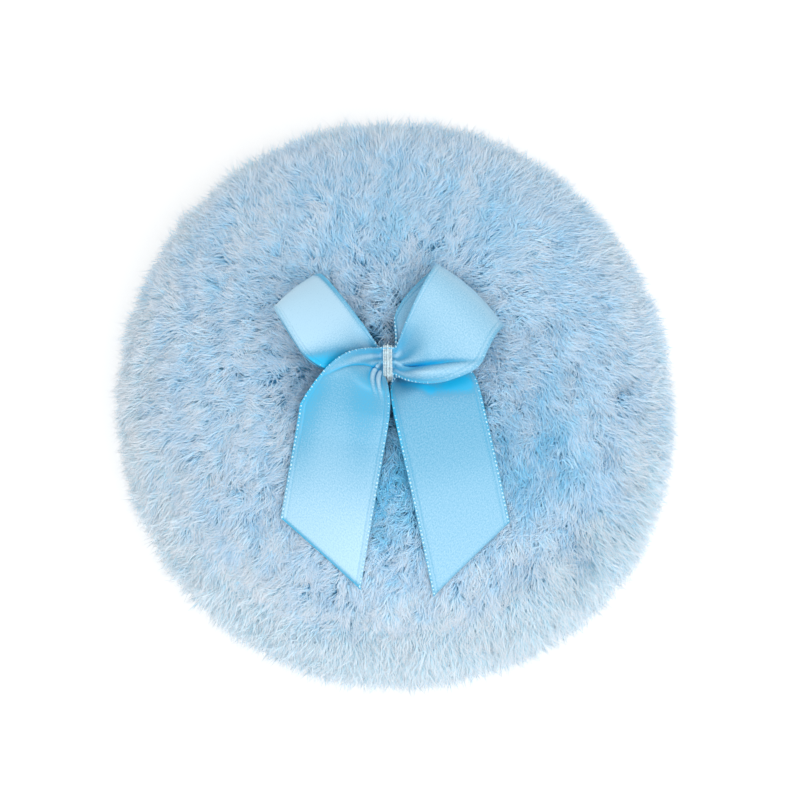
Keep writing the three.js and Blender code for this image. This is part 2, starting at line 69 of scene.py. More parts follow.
# Pad
FULLNESS = 2.2
CROWN_HOLE = 0.8 * MM
BACKING_THICKNESS = 1.3 * MM
SEAM_HALF_GAP = 0.15 * MM
SEAM_NIP = 0.8 * MM
SEAM_NIP_HEIGHT = 1.8 * MM
FLANGE_THICKNESS = 1.2 * MM
FLANGE_RADIUS = 28 * MM
LINING_RADIUS = 33 * MM
STITCH_RADIUS = 31.2 * MM
STITCH_COUNT = 24
CLOSING_STITCHES = 6
SWELL_CAP = 0.4 * MM
SWELL_ROOM = 0.25 * MM
SWELL_PRESSURE = 300
SWELL_STIFFNESS = 5
SWELL_FRAMES = 20
TUFT_SLACK = 0.3 * MM
LINING_GAP = 0.3 * MM
BASE_POLE = 0.02
BASE_REST = 2.4 * MM
BASE_PILE = 2.6 * MM
BASE_SOFTNESS = 0.8 * MM
FULLER_RIGHT = 0.022
FULLER_FRONT = 0.042
FULLER_BEARING = np.radians(-38)
FULLER_SPREAD = np.radians(30)
FULLER_FROM = 0.6

# Pile
STRAND_BEND = 0.5
TONES = 64
WHORL = np.array([-1.7, 3, 0]) * MM
ABOVE_KNOT = np.array([0, 7, 0]) * MM
BETWEEN_LOOPS = np.array([2.6, 4.5]) * MM
FURROW_RADIUS = 36 * MM
FURROW_WIDTH = 1.3 * MM
FURROW_DEPTH = 0.16
STRAND_FLOOR = 0.05 * MM
FLOOR_CHANCE = 0.25 * MM
DOME_FADE_START = 29 * MM
DOME_FADE_WIDTH = 6 * MM
# Pile on the right is calmer, and pile behind the bow more bunched
CALM_SHARE = 0.45
CALM_START = 4 * MM
CALM_WIDTH = 16 * MM
BUNCH = 0.6
BUNCH_BEHIND = 0.12
BUNCH_START = 4 * MM
BUNCH_WIDTH = 14 * MM
# Pile near the seam: more unruly, more upright, looser and thinner, shorter but for a few strands
RIM_START = 33 * MM
RIM_WIDTH = 5 * MM
RIM_FLICK = 0.2
RIM_UPRIGHT = 0.2
RIM_LOOSE = 0.8
RIM_THINNER = 0.25
RIM_SHORTER = 0.3
RIM_LONGER = 0.75
KNOT_LONGER = 0.8
# Waver by smooth fields and by chance
TUFT_SPREAD = 0.55 * MM
FLICK = 0.16
STAND_WAVER = 0.12
STAND_TUFT = 0.09
STAND_STRAND = 0.08
CURL_WAVER = 0.6
CURL_CHANCE = 0.5
LENGTH_WAVER = 0.08
LENGTH_CHANCE = 0.10
TONE_CHANCE = 0.08
# Lean of a strand at its bend and at its tip
LEAN_LEAST = 0.35
LEAN_COMBED = 0.65
BEND_LEAN = 0.75
BEND_STAND = 0.6
TIP_LEAN = 1.15
# Paler rim, most at the front right: partly the pile's own tone and partly painted light that lifts the shade on the
# steep rim; and painted shade in the furrow
RIM_TONE_AND_LIGHT = 0.35
FRONT_TONE_AND_LIGHT = 0.14
FRONT_BEARING = np.radians(-55)
FRONT_SPREAD = np.radians(30)
FURROW_SHADE = 0.05
TONE_TOP = 0.61
# The base's pile starts paler than the crown's: painted light that lessens the shade on the underside
TONE_BASE_AND_LIGHT = 0.85
TONE_SLOPE = 0.0025
TONE_FLOOR = 0.4
WIDE_PATCH = math.sqrt(90)
# Deeper and paler patches of the crown's pile: amount, middle and half width along x and along y in millimetres, and
# the power of the fall along y. They are painted shade under the tails, painted light on the shade above the knot,
# and deeper tone right of the tails and above the loops
TONE_LIGHT_AND_SHADE_PATCHES = (
    (-0.6, 0, 8, -12, 13, 4),
    (0.08, 0, 6, 8, 6, 2),
    (-0.3, 19, WIDE_PATCH, -12, WIDE_PATCH, 2),
    (-0.12, 0, WIDE_PATCH, 16, WIDE_PATCH, 2),
)

# Bow
WAIST_HALF_LENGTH = 1.085 * MM
WAIST_HALF_WIDTH = 2.05 * MM
WAIST_HALF_HEIGHT = 1.4 * MM
WAIST_Z = 37.54 * MM
WAIST_SETTLE = 5 * MM
RIBBON_LIE = 0.5 * MM
ANCHOR_KNOT_Z = 27.6 * MM
TAIL_OPEN = 9.5 * MM
EDGE_GROOVE = 0.875
PICOT_UNEVEN = 0.22
THREAD_LAY = 0.8 * MM
THREAD_OFF_WAIST = 0.16 * MM

# Camera's aim to the right of the pad's middle and above its seam
AIM_X = 1.7 * MM
AIM_LIFT = 0.29 * MM
# Floor: half its side, and how its own light grows from the near distance to the far one
FLOOR_HALF = 1.5
FLOOR_DROP = 0.02 * MM
FLOOR_LIFT = {"From Min": 0.15, "From Max": 0.7, "To Min": 0.3, "To Max": 0.5}
# Lamps: place, share of the main power, colour
LAMPS = {"key": ((0.16, -0.36, 0.50), 1.5, (1, 1, 1)), "top": ((-0.10, 0.06, 0.62), 0.5, (1, 0.99, 0.98))}
LAMP_AIM = (0, 0, 0.02)
LAMP_SIZE = 0.6
WHITE = (1, 1, 1, 1)


def colour_prop(name, description, default):
    """A colour that is written as it looks on screen."""
    return FloatVectorProperty(
        name=name, description=description, default=default, size=3, min=0, max=1, subtype="COLOR_GAMMA"
    )


def length_prop(name, description, default):
    """A length in metres."""
    return FloatProperty(name=name, description=description, default=default, min=0, unit="LENGTH", precision=5)


class PuffPadSettings(bpy.types.PropertyGroup):
    """Sizes and colours of the plush pad"""

    width: length_prop("Width", "Pad from side to side over the tips of its pile", 80 * MM)
    length: length_prop("Length", "Pad from front to back over the tips of its pile", 83.6 * MM)
    seam_height: length_prop("Seam height", "Seam above the face that the pad rests on", 17 * MM)
    crown_rise: length_prop("Crown rise", "Seam to the tips of the crown", 21 * MM)
    base_depth: length_prop("Base depth", "Seam to the underside before it flattens", 19 * MM)
    tuft_depth: length_prop("Tuft depth", "How far the bow's stitch draws the crown down", 3.4 * MM)
    tuft_radius: length_prop("Tuft radius", "Spread of the dip round the bow's stitch", 7.5 * MM)
    pile_depth: length_prop("Pile depth", "Tips of the pile above the backing", 2.3 * MM)
    strand_length: length_prop("Strand length", "Length of a strand of the pile", 3.4 * MM)
    strand_width: length_prop("Strand width", "Thickest width of a strand", 0.15 * MM)
    crown_tufts: IntProperty(name="Crown tufts", description="Tufts of pile on the top cover", default=18200, min=100)
    base_tufts: IntProperty(name="Base tufts", description="Tufts of pile on the bottom cover", default=7200, min=100)
    tuft_strands: IntProperty(name="Strands in a tuft", description="Strands in each tuft", default=11, min=1)
    pile_pale: colour_prop("Pale pile", "Tips of the palest strands", (0.96, 0.97, 0.99))
    pile_middle: colour_prop("Middle pile", "Tips of most strands", (0.86, 0.935, 0.995))
    pile_deep: colour_prop("Deep pile", "Tips of the deepest strands", (0.47, 0.84, 0.97))
    pile_root: colour_prop("Pile root", "Foot of the strands", (0.55, 0.87, 1.0))
    # Roots of the palest strands: partly their own tone and partly painted light that lifts the shade on the steep
    # rim
    pile_rim_tone_and_light: colour_prop("Pile at the rim", "Foot of the palest strands", (0.7, 0.925, 1.0))
    backing: colour_prop("Backing", "Knitted ground of the pile", (0.58, 0.85, 0.98))
    fibre: colour_prop("Filling", "Loose fibre inside the pad", (0.95, 0.95, 0.94))
    seam_thread: colour_prop("Seam thread", "Thread of the seam", (0.66, 0.79, 0.87))


class PuffBowSettings(bpy.types.PropertyGroup):
    """Sizes and colours of the bow"""

    ribbon_width: length_prop("Ribbon width", "Width of the ribbon", 12.5 * MM)
    ribbon_thickness: length_prop("Ribbon thickness", "Thickness of the ribbon", 0.22 * MM)
    waist_height: length_prop("Waist height", "Ribbon gathered under the thread", 3.8 * MM)
    layer_pitch: length_prop("Layer pitch", "Between the passes of ribbon at the waist", 0.95 * MM)
    cut_slant: length_prop("Cut slant", "Inner edge longer than the outer edge at the cut", 7.5 * MM)
    bead_pitch: length_prop("Picot pitch", "Between the picots along the edges", 0.56 * MM)
    bead_size: length_prop("Picot size", "Length of one picot on the tails", 0.5 * MM)
    thread_width: length_prop("Thread width", "Thread wound round the waist", 0.21 * MM)
    thread_turns: IntProperty(name="Thread turns", description="Turns round the waist", default=6, min=2)
    # The satin's colour where its painted sheen is full, where the ribbon lies open
    satin: colour_prop("Satin", "Face of the ribbon where it lies open", (0.70, 0.86, 0.95))
    # Painted shade: the satin where it is gathered
    satin_shade: colour_prop("Deep satin", "Face of the ribbon where it is gathered", (0.33, 0.66, 0.81))
    # Painted shade: the satin down in its creases and under what lies over it
    satin_crease_shade: colour_prop("Satin in the folds", "Face of the ribbon down in its creases", (0.02, 0.73, 0.93))
    picot: colour_prop("Picots", "Picots along the edges", (0.77, 0.92, 0.985))
    thread: colour_prop("Thread", "Thread wound round the waist", (0.9, 0.98, 1.0))


class PuffStageSettings(bpy.types.PropertyGroup):
    """Camera and light"""

    elevation: FloatProperty(
        name="Elevation", description="Camera above the horizon", default=math.radians(75), subtype="ANGLE"
    )
    distance: length_prop("Distance", "Camera from the middle of the pad", 460 * MM)
    lens: FloatProperty(name="Lens", description="Focal length in millimetres", default=142.75, min=1)
    key_power: FloatProperty(name="Key light", description="Power of the main lamp", default=1.52, unit="POWER")
    sky: FloatProperty(name="Sky light", description="Strength of the light from all round", default=0.645, min=0)
    floor: colour_prop("Floor", "Colour of the floor", (0.95, 0.95, 0.95))


# Small helpers

def linear(colour):
    """Colour as a shader takes it: the screen value through the sRGB curve, with full alpha."""
    c = np.array(colour)
    return (*np.where(c <= 0.04045, c / 12.92, ((c + 0.055) / 1.055) ** 2.4), 1.0)


def smooth(x):
    """Eases from 0 to 1: three x squared less two x cubed."""
    x = np.clip(x, 0, 1)
    return x * x * (3 - 2 * x)


def ease(x, start, width):
    """Eases from 0 at the start to 1 a width further on."""
    return smooth((x - start) / width)


def bell(x):
    """Bell curve: e to the power of minus x squared."""
    return np.exp(-(x**2))


def lerp(a, b, t):
    """Straight mix of a and b."""
    return a + (b - a) * t


def turned(first, second, angle):
    """Mix of two directions: the first by the cosine of an angle and the second by its sine."""
    return first * np.cos(angle)[..., None] + second * np.sin(angle)[..., None]


def running_length(path):
    """Length along a path, from its start to each of its points."""
    return np.concatenate([[0], np.cumsum(np.linalg.norm(np.diff(path, axis=0), axis=1))])


def unit(v):
    """Vectors divided by their lengths."""
    return v / np.maximum(np.linalg.norm(v, axis=-1, keepdims=True), 1e-12)


def ripple(points, wavelength, seed):
    """Smooth random field of about -1 to 1: the sum of nine sine waves of about one length, each with its own
    direction and phase."""
    rng = np.random.default_rng(seed)
    waves = 2 * np.pi / wavelength * unit(rng.normal(size=(9, 3))) * rng.uniform(0.7, 1.4, (9, 1))
    return np.sin(points @ waves.T + rng.uniform(0, 2 * np.pi, 9)).sum(-1) / 3


def bulge(share):
    """Height of a fuller ellipse at a share of its radius: (1 - share^n)^(1/n)."""
    return (1 - np.clip(share, 0, 1) ** FULLNESS) ** (1 / FULLNESS)


def dome_height(pad, r):
    """Tips of the crown without its tuft, over the distance from the axis."""
    rise = pad.crown_rise - SEAM_HALF_GAP
    return pad.seam_height + SEAM_HALF_GAP + rise * bulge(r / (pad.width / 2))


def round_distance(pad, points):
    """Distance from the axis, with the pad's oval drawn in to a circle as wide as it is."""
    return np.hypot(points[..., 0], points[..., 1] * pad.width / pad.length)


def put_mesh(name, points, faces, uv=None, flat=False):
    """Object at the origin from an array of points, arrays of faces and one UV pair per face corner. Flat faces
    aren't smoothed."""
    mesh = bpy.data.meshes.new(name)
    if isinstance(faces, np.ndarray):
        mesh.from_pydata(points.reshape(-1, 3), [], faces)
    else:
        mesh.from_pydata(points.reshape(-1, 3).tolist(), [], [f for part in faces for f in np.asarray(part).tolist()])
    if uv is not None:
        mesh.uv_layers.new(name=UV_NAME).data.foreach_set("uv", np.ascontiguousarray(uv, dtype=np.float32).ravel())
    mesh.polygons.foreach_set("use_smooth", np.full(len(mesh.polygons), not flat))
    mesh.update()
    if mesh.validate():
        raise RuntimeError(f"{name}: mesh had faults")
    obj = bpy.data.objects.new(name, mesh)
    bpy.context.scene.collection.objects.link(obj)
    return obj


def ring_quads(rings, segments, closed=False):
    """Quads between rings of points that each close on themselves; closed joins the last ring to the first."""
    i = np.arange(rings if closed else rings - 1)[:, None]
    j = np.arange(segments)[None, :]
    after, beside = (i + 1) % rings, (j + 1) % segments
    corners = [i * segments + j, after * segments + j, after * segments + beside, i * segments + beside]
    return np.stack(np.broadcast_arrays(*corners), -1).reshape(-1, 4)


def closed_bag(rings, segments):
    """Faces between rings of points, with one face across the first ring and one across the last."""
    first = np.arange(segments)[None, :]
    last = (rings - 1) * segments + np.arange(segments)[None, ::-1]
    return [ring_quads(rings, segments), first, last]


def ring_normals(rings):
    """Unit normals of rings that run outwards and down from a pole: slope crossed with the way round."""
    slope = np.gradient(rings, axis=0)
    way_round = np.roll(rings, -1, axis=1) - np.roll(rings, 1, axis=1)
    return unit(np.cross(slope, way_round)), unit(slope), unit(way_round)


def principled(name, **sockets):
    """New material with values set on its shader's own sockets; gives the material, its nodes and the shader."""
    material = bpy.data.materials.new(name)
    material.use_nodes = True
    shader = material.node_tree.nodes["Principled BSDF"]
    for socket, value in sockets.items():
        shader.inputs[socket.replace("_", " ")].default_value = value
    return material, material.node_tree, shader


def plug(tree, made, links):
    """Feeds a node's inputs: links maps an input to the output that feeds it, or to a fixed value."""
    for key, source in links.items():
        if isinstance(source, bpy.types.NodeSocket):
            tree.links.new(source, made.inputs[key])
        else:
            made.inputs[key].default_value = source


def node(tree, kind, links=None, **values):
    """Node with its settings and with its inputs fed."""
    made = tree.nodes.new(kind)
    for key, value in values.items():
        setattr(made, key, value)
    plug(tree, made, links or {})
    return made


def ramp(tree, factor, stops):
    """Colour ramp through (place, colour) stops."""
    made = node(tree, "ShaderNodeValToRGB", {"Fac": factor})
    elements = made.color_ramp.elements
    while len(elements) < len(stops):
        elements.new(0.5)
    for element, (place, colour) in zip(elements, stops):
        element.position = place
        element.color = linear(colour)
    return made.outputs["Color"]


def deeper(colour, share):
    """A colour times a share."""
    return tuple(share * c for c in colour)


def mottled(name, noise, stops, bump=None, loops=None, **sockets):
    """Material that takes its colour from noise through a ramp. bump holds the strength and the depth of its bump,
    made by the same noise or, where loops holds a scale, by small cells."""
    material, tree, shader = principled(name, **sockets)
    place = {"Vector": node(tree, "ShaderNodeTexCoord").outputs["Object"]}
    height = node(tree, "ShaderNodeTexNoise", {**place, **noise}).outputs["Fac"]
    plug(tree, shader, {"Base Color": ramp(tree, height, stops)})
    if loops:
        height = node(tree, "ShaderNodeTexVoronoi", {**place, "Scale": loops}).outputs["Distance"]
    if bump:
        raised = node(tree, "ShaderNodeBump", {"Height": height, "Strength": bump[0], "Distance": bump[1]})
        plug(tree, shader, {"Normal": raised.outputs["Normal"]})
    return material


def finish_piece(obj, material, slot, body, *nodes):
    """Gives a piece its material, the body it rides on and the CAD nodes it stands for; its slot is not used."""
    obj.data.materials.append(material)
    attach(obj, body)
    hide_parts(*nodes)


# Pad

def oval(pad, radii, heights):
    """Level oval rings about the axis: cosine and sine of the turn by the radius, stretched from front to back."""
    turn = 2 * np.pi * np.arange(PAD_SEGMENTS) / PAD_SEGMENTS
    r, z = np.array(radii)[:, None], np.array(heights)[:, None]
    return np.stack(np.broadcast_arrays(r * np.cos(turn), r * np.sin(turn) * pad.length / pad.width, z), -1)


def backing_rings(pad):
    """Ground of the pile as rings from the crown's hole over the seam to the middle of the base.

    A quarter of a fuller ellipse above the seam and one below it: radius times sine to the power 2/n, rise times
    cosine to the power 2/n. The crown dips by a bell curve at the tuft, the sides draw in at the seam, the base
    flattens softly on to the pile under it, and the stuffing is a little fuller on the right and at the front right.
    The swelling lifts the crown and draws in the sides, so the rings start lower and wider by its room.
    """
    radius = pad.width / 2 - pad.pile_depth + SWELL_ROOM
    power = 2 / FULLNESS
    first = math.asin((CROWN_HOLE / radius) ** (1 / power))
    crown = np.linspace(first, np.pi / 2, CROWN_RINGS)
    base = np.linspace(np.pi / 2, BASE_POLE, BASE_RINGS)[1:]
    angle = np.concatenate([crown, base])
    above = np.arange(len(angle)) < CROWN_RINGS
    r = radius * np.sin(angle) ** power
    lift = np.maximum(np.cos(angle), 0) ** power
    r = r - SEAM_NIP * bell(lift * pad.seam_height / SEAM_NIP_HEIGHT)
    dip = (pad.tuft_depth - TUFT_SLACK) * bell(r / pad.tuft_radius)
    rise = lift * (pad.crown_rise - pad.pile_depth - SWELL_ROOM) - dip
    fall = pad.seam_height - lift * (pad.base_depth - BASE_PILE)
    fall = np.logaddexp(fall / BASE_SOFTNESS, BASE_REST / BASE_SOFTNESS) * BASE_SOFTNESS - pad.seam_height
    z = pad.seam_height + np.where(above, rise, fall)
    z[CROWN_RINGS - 1] = pad.seam_height
    rings = oval(pad, r, z)
    bearing = np.arctan2(rings[..., 1], rings[..., 0])
    fuller = FULLER_RIGHT * np.cos(bearing) + FULLER_FRONT * bell((bearing - FULLER_BEARING) / FULLER_SPREAD)
    fuller = fuller * ease(r / radius, FULLER_FROM, 1 - FULLER_FROM)[:, None]
    return rings * np.stack([1 + fuller, 1 + fuller, np.ones_like(fuller)], -1)


def swell(rings):
    """Cloth under pressure from inside: the rings as a closed bag, pinned at the stitches, the tuft and the base,
    swollen for some frames, with each point's move capped. The pressure is high because the pad is so small."""
    tuft_pin, stitch_pin, base_pin, base_pin_top = 4 * MM, 0.2, 30 * MM, 3.4 * MM
    count, segments = rings.shape[:2]
    bag = put_mesh("swelling_bag", rings, closed_bag(count, segments))
    turn = np.arange(segments) / segments * STITCH_COUNT
    at_stitch = np.abs(turn - np.round(turn)) < stitch_pin
    r = np.linalg.norm(rings[..., :2], axis=-1)
    pinned = (r < tuft_pin) | ((np.arange(count) == CROWN_RINGS - 1)[:, None] & at_stitch)
    pinned |= (rings[..., 2] < base_pin_top) & (r < base_pin)
    group = bag.vertex_groups.new(name="pins")
    group.add(np.flatnonzero(pinned.ravel()).tolist(), 1.0, "REPLACE")
    cloth = bag.modifiers.new("cloth", "CLOTH")
    settings = cloth.settings
    settings.use_pressure = True
    settings.uniform_pressure_force = SWELL_PRESSURE
    settings.tension_stiffness = settings.compression_stiffness = SWELL_STIFFNESS
    settings.shear_stiffness = settings.bending_stiffness = SWELL_STIFFNESS
    settings.vertex_group_mass = group.name
    settings.effector_weights.gravity = 0
    cloth.point_cache.frame_start, cloth.point_cache.frame_end = 1, SWELL_FRAMES
    for step in range(1, SWELL_FRAMES + 1):
        bpy.context.scene.frame_set(step)
    solved = bag.evaluated_get(bpy.context.evaluated_depsgraph_get())
    moved = np.empty(rings.size, dtype=np.float32)
    solved.to_mesh().vertices.foreach_get("co", moved)
    solved.to_mesh_clear()
    bpy.context.scene.frame_set(1)
    move = moved.reshape(rings.shape) - rings
    far = np.linalg.norm(move, axis=-1, keepdims=True)
    bpy.data.objects.remove(bag)
    print("swelling moved points by up to", round(float(far.max()) / MM, 2), "mm")
    return rings + move * np.minimum(1, SWELL_CAP / np.maximum(far, 1e-9))


_swollen = {}


def pad_surface(pad):
    if "rings" not in _swollen:
        rings = backing_rings(pad)
        _swollen["rings"] = swell(rings)
    return _swollen["rings"]


def backing_material(pad):
    """Knitted ground: fine rows of loops as bump, with the colour mottled by noise."""
    colours = [(0.3, deeper(pad.backing, 0.86)), (0.7, pad.backing)]
    noise = {"Scale": 260.0, "Detail": 3.0}
    return mottled("plush_backing", noise, colours, (0.5, 0.0003), loops=1400.0, Roughness=0.9)


class PUFF_OT_covers(bpy.types.Operator):
    """Makes the two covers of knitted backing, swollen by their filling and turned in at the seam"""

    bl_idname = "puff.make_covers"
    bl_label = "Covers"

    def execute(self, context):
        pad = context.scene.puff_pad
        rings = pad_surface(pad)
        material = backing_material(pad)
        inner = rings - BACKING_THICKNESS * ring_normals(rings)[0]
        seam = CROWN_RINGS - 1
        low, high = SEAM_HALF_GAP, SEAM_HALF_GAP + FLANGE_THICKNESS
        steps = [LINING_RADIUS, (LINING_RADIUS + FLANGE_RADIUS) / 2, FLANGE_RADIUS]

        outer = rings[:CROWN_RINGS].copy()
        outer[seam, :, 2] += low
        lining = inner[:seam][inner[:seam, :, 2].min(1) > pad.seam_height + high + LINING_GAP]
        under = oval(pad, steps, [pad.seam_height + low] * 3)
        over = oval(pad, steps[::-1], [pad.seam_height + high] * 3)
        shell = np.concatenate([outer, under, over, lining[::-1]])
        top = put_mesh("plush_top_backing", shell, ring_quads(len(shell), PAD_SEGMENTS, closed=True))
        finish_piece(top, material, "plush", "puff", "top_cover")

        outer = rings[seam:].copy()
        outer[0, :, 2] -= low
        lining = inner[seam + 1:][inner[seam + 1:, :, 2].max(1) < pad.seam_height - high - LINING_GAP]
        over = oval(pad, steps[::-1], [pad.seam_height - low] * 3)
        under = oval(pad, steps, [pad.seam_height - high] * 3)
        shell = np.concatenate([lining[::-1], under, over, outer])
        bottom = put_mesh("plush_bottom_backing", shell, closed_bag(len(shell), PAD_SEGMENTS))
        finish_piece(bottom, material, "plush", "puff", "bottom_cover")
        return {"FINISHED"}


class PUFF_OT_filling(bpy.types.Operator):
    """Makes the wad of loose fibre inside the covers"""

    bl_idname = "puff.make_filling"
    bl_label = "Filling"

    def execute(self, context):
        """A lens of rings, waisted at the turned-in seam, with soft lumps from two smooth random fields."""
        pad = context.scene.puff_pad
        rows, pole, radius, rise, fall = 64, 0.03, 33.5 * MM, 13.2 * MM, -11.6 * MM
        waist_height, waist_gap, dip, dip_radius = 2.6 * MM, 0.4 * MM, 3.4 * MM, 6 * MM
        lump, small_lump, draw_in = 0.35 * MM, 0.18 * MM, 0.5 * MM
        angle = np.linspace(pole, np.pi - pole, rows)
        upper = angle < np.pi / 2
        power = 2 / FULLNESS
        r = radius * np.sin(angle) ** power
        z = pad.seam_height + np.where(upper, rise, fall) * np.abs(np.cos(angle)) ** power
        waist = np.exp(-(((z - pad.seam_height) / waist_height) ** 4))
        r = lerp(r, np.minimum(r, FLANGE_RADIUS - waist_gap), waist)
        z = z - dip * bell(r / dip_radius) * upper
        rings = oval(pad, r, z)
        lumps = lump * ripple(rings, 7 * MM, 11) + small_lump * ripple(rings, 2.6 * MM, 12) - draw_in
        rings = rings + lumps[..., None] * ring_normals(rings)[0]
        wad = put_mesh("fibre_wad", rings, closed_bag(rows, PAD_SEGMENTS))
        colours = [(0.3, deeper(pad.fibre, 0.88)), (0.6, pad.fibre)]
        noise = {"Scale": 900.0, "Detail": 6.0, "Distortion": 2.0}
        material = mottled("loose_fibre", noise, colours, (0.7, 0.0004), Roughness=0.95)
        finish_piece(wad, material, "fibre", "puff", "fibre_filling")
        return {"FINISHED"}


# Pile

def spread_places(rings, count):
    """Places spread evenly by area over rings: a two-way golden sequence, its first share turned into a ring by the
    running area. Gives points, normals, slopes and ways round."""
    side_a, side_b = np.diff(rings, axis=0), np.roll(rings, -1, axis=1) - rings
    area = np.linalg.norm(np.cross(side_a, side_b[:-1]), axis=-1).sum(1)
    running = np.concatenate([[0], np.cumsum(area)]) / area.sum()
    k = np.arange(count)
    ring = np.interp((0.5 + k * PLACE_STEPS[0]) % 1, running, np.arange(len(rings)))
    column = ((0.5 + k * PLACE_STEPS[1]) % 1) * rings.shape[1]
    i, j = np.minimum(ring.astype(int), len(rings) - 2), column.astype(int) % rings.shape[1]
    a, b = (ring - i)[:, None], (column - np.floor(column))[:, None]
    beside = (j + 1) % rings.shape[1]

    def between(values):
        return lerp(lerp(values[i, j], values[i + 1, j], a), lerp(values[i, beside], values[i + 1, beside], a), b)

    normals, slopes, ways = ring_normals(rings)
    return between(rings), unit(between(normals)), unit(between(slopes)), unit(between(ways))


def strand_paths(roots, normals, heading, lean, curl, length):
    """Middle lines of strands as root, bend and tip. A strand leaves its root near the normal and leans over towards
    its heading; each of its two steps is a share of the length along a mix of the normal by cosine and of the turning
    heading by sine."""
    aside = unit(np.cross(normals, heading))
    places = [roots]
    for step, tilt, turn in zip((STRAND_BEND, 1 - STRAND_BEND), lean.T, (-0.2 * curl, 0.8 * curl)):
        way = turned(normals, turned(heading, aside, turn), tilt)
        places.append(places[-1] + way * (step * length)[:, None])
    return np.stack(places, 1)


def strand_mesh(name, paths, radius, tone, rng):
    """Closed spindles along bent middle lines of three points: a point at the root, three points round the bend and a
    point at the tip. The faces stay flat, because smoothed normals on three sides swallow light.

    The UV map is a colour card: its columns are the tones, and each strand runs up its own column from root to tip.
    """
    count = len(paths)
    root, bend, tip = paths[:, 0], paths[:, 1], paths[:, 2]
    ahead = unit(tip - root)
    side = unit(np.cross(ahead, rng.normal(size=(count, 3))))
    third = np.cross(ahead, side)
    ring = turned(side[:, None], third[:, None], 2 * np.pi * np.arange(3) / 3)
    points = np.concatenate([root[:, None], bend[:, None] + radius[:, None, None] * ring, tip[:, None]], axis=1)

    k = np.arange(3)
    beside = (k + 1) % 3
    low = np.stack([np.zeros(3, int), 1 + beside, 1 + k], -1)
    high = np.stack([1 + k, 1 + beside, np.full(3, 4)], -1)
    faces = np.concatenate([low, high])[None] + (np.arange(count) * 5)[:, None, None]
    foot, end, margin = 0.02, 0.98, 0.15
    knee = lerp(foot, end, STRAND_BEND)
    low_card, high_card = [(0.5, foot), (1, knee), (0, knee)], [(0, knee), (1, knee), (0.5, end)]
    corners = np.array([low_card] * 3 + [high_card] * 3)
    column = np.clip(np.floor(tone * TONES), 0, TONES - 1)
    uv = np.empty((count, *corners.shape))
    uv[..., 0] = (column[:, None, None] + margin + (1 - 2 * margin) * corners[None, ..., 0]) / TONES
    uv[..., 1] = corners[None, ..., 1]
    return put_mesh(name, points, faces.reshape(-1, 3), uv, flat=True)


def pile_material(pad):
    """Plush fibre: the UV map's height goes from root to tip and its width from deep to pale strands."""
    material, tree, shader = principled("plush_pile", Roughness=0.62)
    card = node(tree, "ShaderNodeUVMap", uv_map=UV_NAME)
    split = node(tree, "ShaderNodeSeparateXYZ", {"Vector": card.outputs["UV"]})
    tip = ramp(tree, split.outputs["X"], [(0.0, pad.pile_deep), (0.5, pad.pile_middle), (1.0, pad.pile_pale)])
    # Roots of the palest strands are paler: partly their own tone, partly painted light on the steep rim's shade
    root = ramp(tree, split.outputs["X"], [(0.7, pad.pile_root), (1.0, pad.pile_rim_tone_and_light)])
    rise = node(tree, "ShaderNodeMapRange", {"Value": split.outputs["Y"], "From Min": 0.25, "From Max": 0.85})
    links = {"Factor": rise.outputs["Result"], "A": root, "B": tip}
    mixed = node(tree, "ShaderNodeMix", links, data_type="RGBA")
    plug(tree, shader, {"Base Color": mixed.outputs["Result"]})
    return material


def lie_of_pile(roots, outwards, top):
    """Way that the pile is combed, in plan: away from a whorl under the bow, turned clockwise on the right and the
    other way on the left by the parts of a cosine, then out towards the seam; the base is combed outwards."""
    if not top:
        return outwards
    soft, strength = 9 * MM, 1.25
    right_turn, right_bearing, left_turn = np.radians(-75), np.radians(-25), np.radians(26)
    r = np.linalg.norm(roots[:, :2], axis=1)
    apart = (roots - WHORL) * FLAT
    comb = apart / (np.linalg.norm(apart, axis=1, keepdims=True) + soft) * strength
    bearing = np.arctan2(roots[:, 1], roots[:, 0])
    turn = right_turn * np.maximum(np.cos(bearing - right_bearing), 0)
    turn = (turn + left_turn * np.maximum(-np.cos(bearing), 0) ** 2) * ease(r, 6 * MM, 16 * MM)
    comb = turned(comb, np.cross(UP, comb), turn)
    return lerp(comb, outwards, 0.7 * ease(r, 27 * MM, 12 * MM)[:, None])


def comb_tufts(roots, slopes, ways, calm, top, seed, rng):
    """Heading of each tuft over the ground and how strongly it leans: the lie of the pile, wavering by a wide and a
    fine smooth random field and by chance."""
    wide, fine, chance = 0.24, 0.32, 0.2
    least, most = 0.45, 1.2
    outwards = unit(roots * FLAT)
    waves = []
    for length, first in ((11 * MM, seed + 1), (3 * MM, seed + 8)):
        fields = [ripple(roots, length, first), ripple(roots, length, first + 1), np.zeros(len(roots))]
        waves.append(np.stack(fields, -1))
    comb = lie_of_pile(roots, outwards, top) + wide * waves[0] + (fine * calm)[:, None] * waves[1]
    comb = comb + rng.normal(size=roots.shape) * [chance, chance, 0]
    bearing = np.arctan2((comb * np.cross(UP, outwards)).sum(1), (comb * outwards).sum(1))
    heading = turned(slopes if top else -slopes, ways, bearing)
    return heading, np.clip(np.linalg.norm(comb, axis=1), least, most)


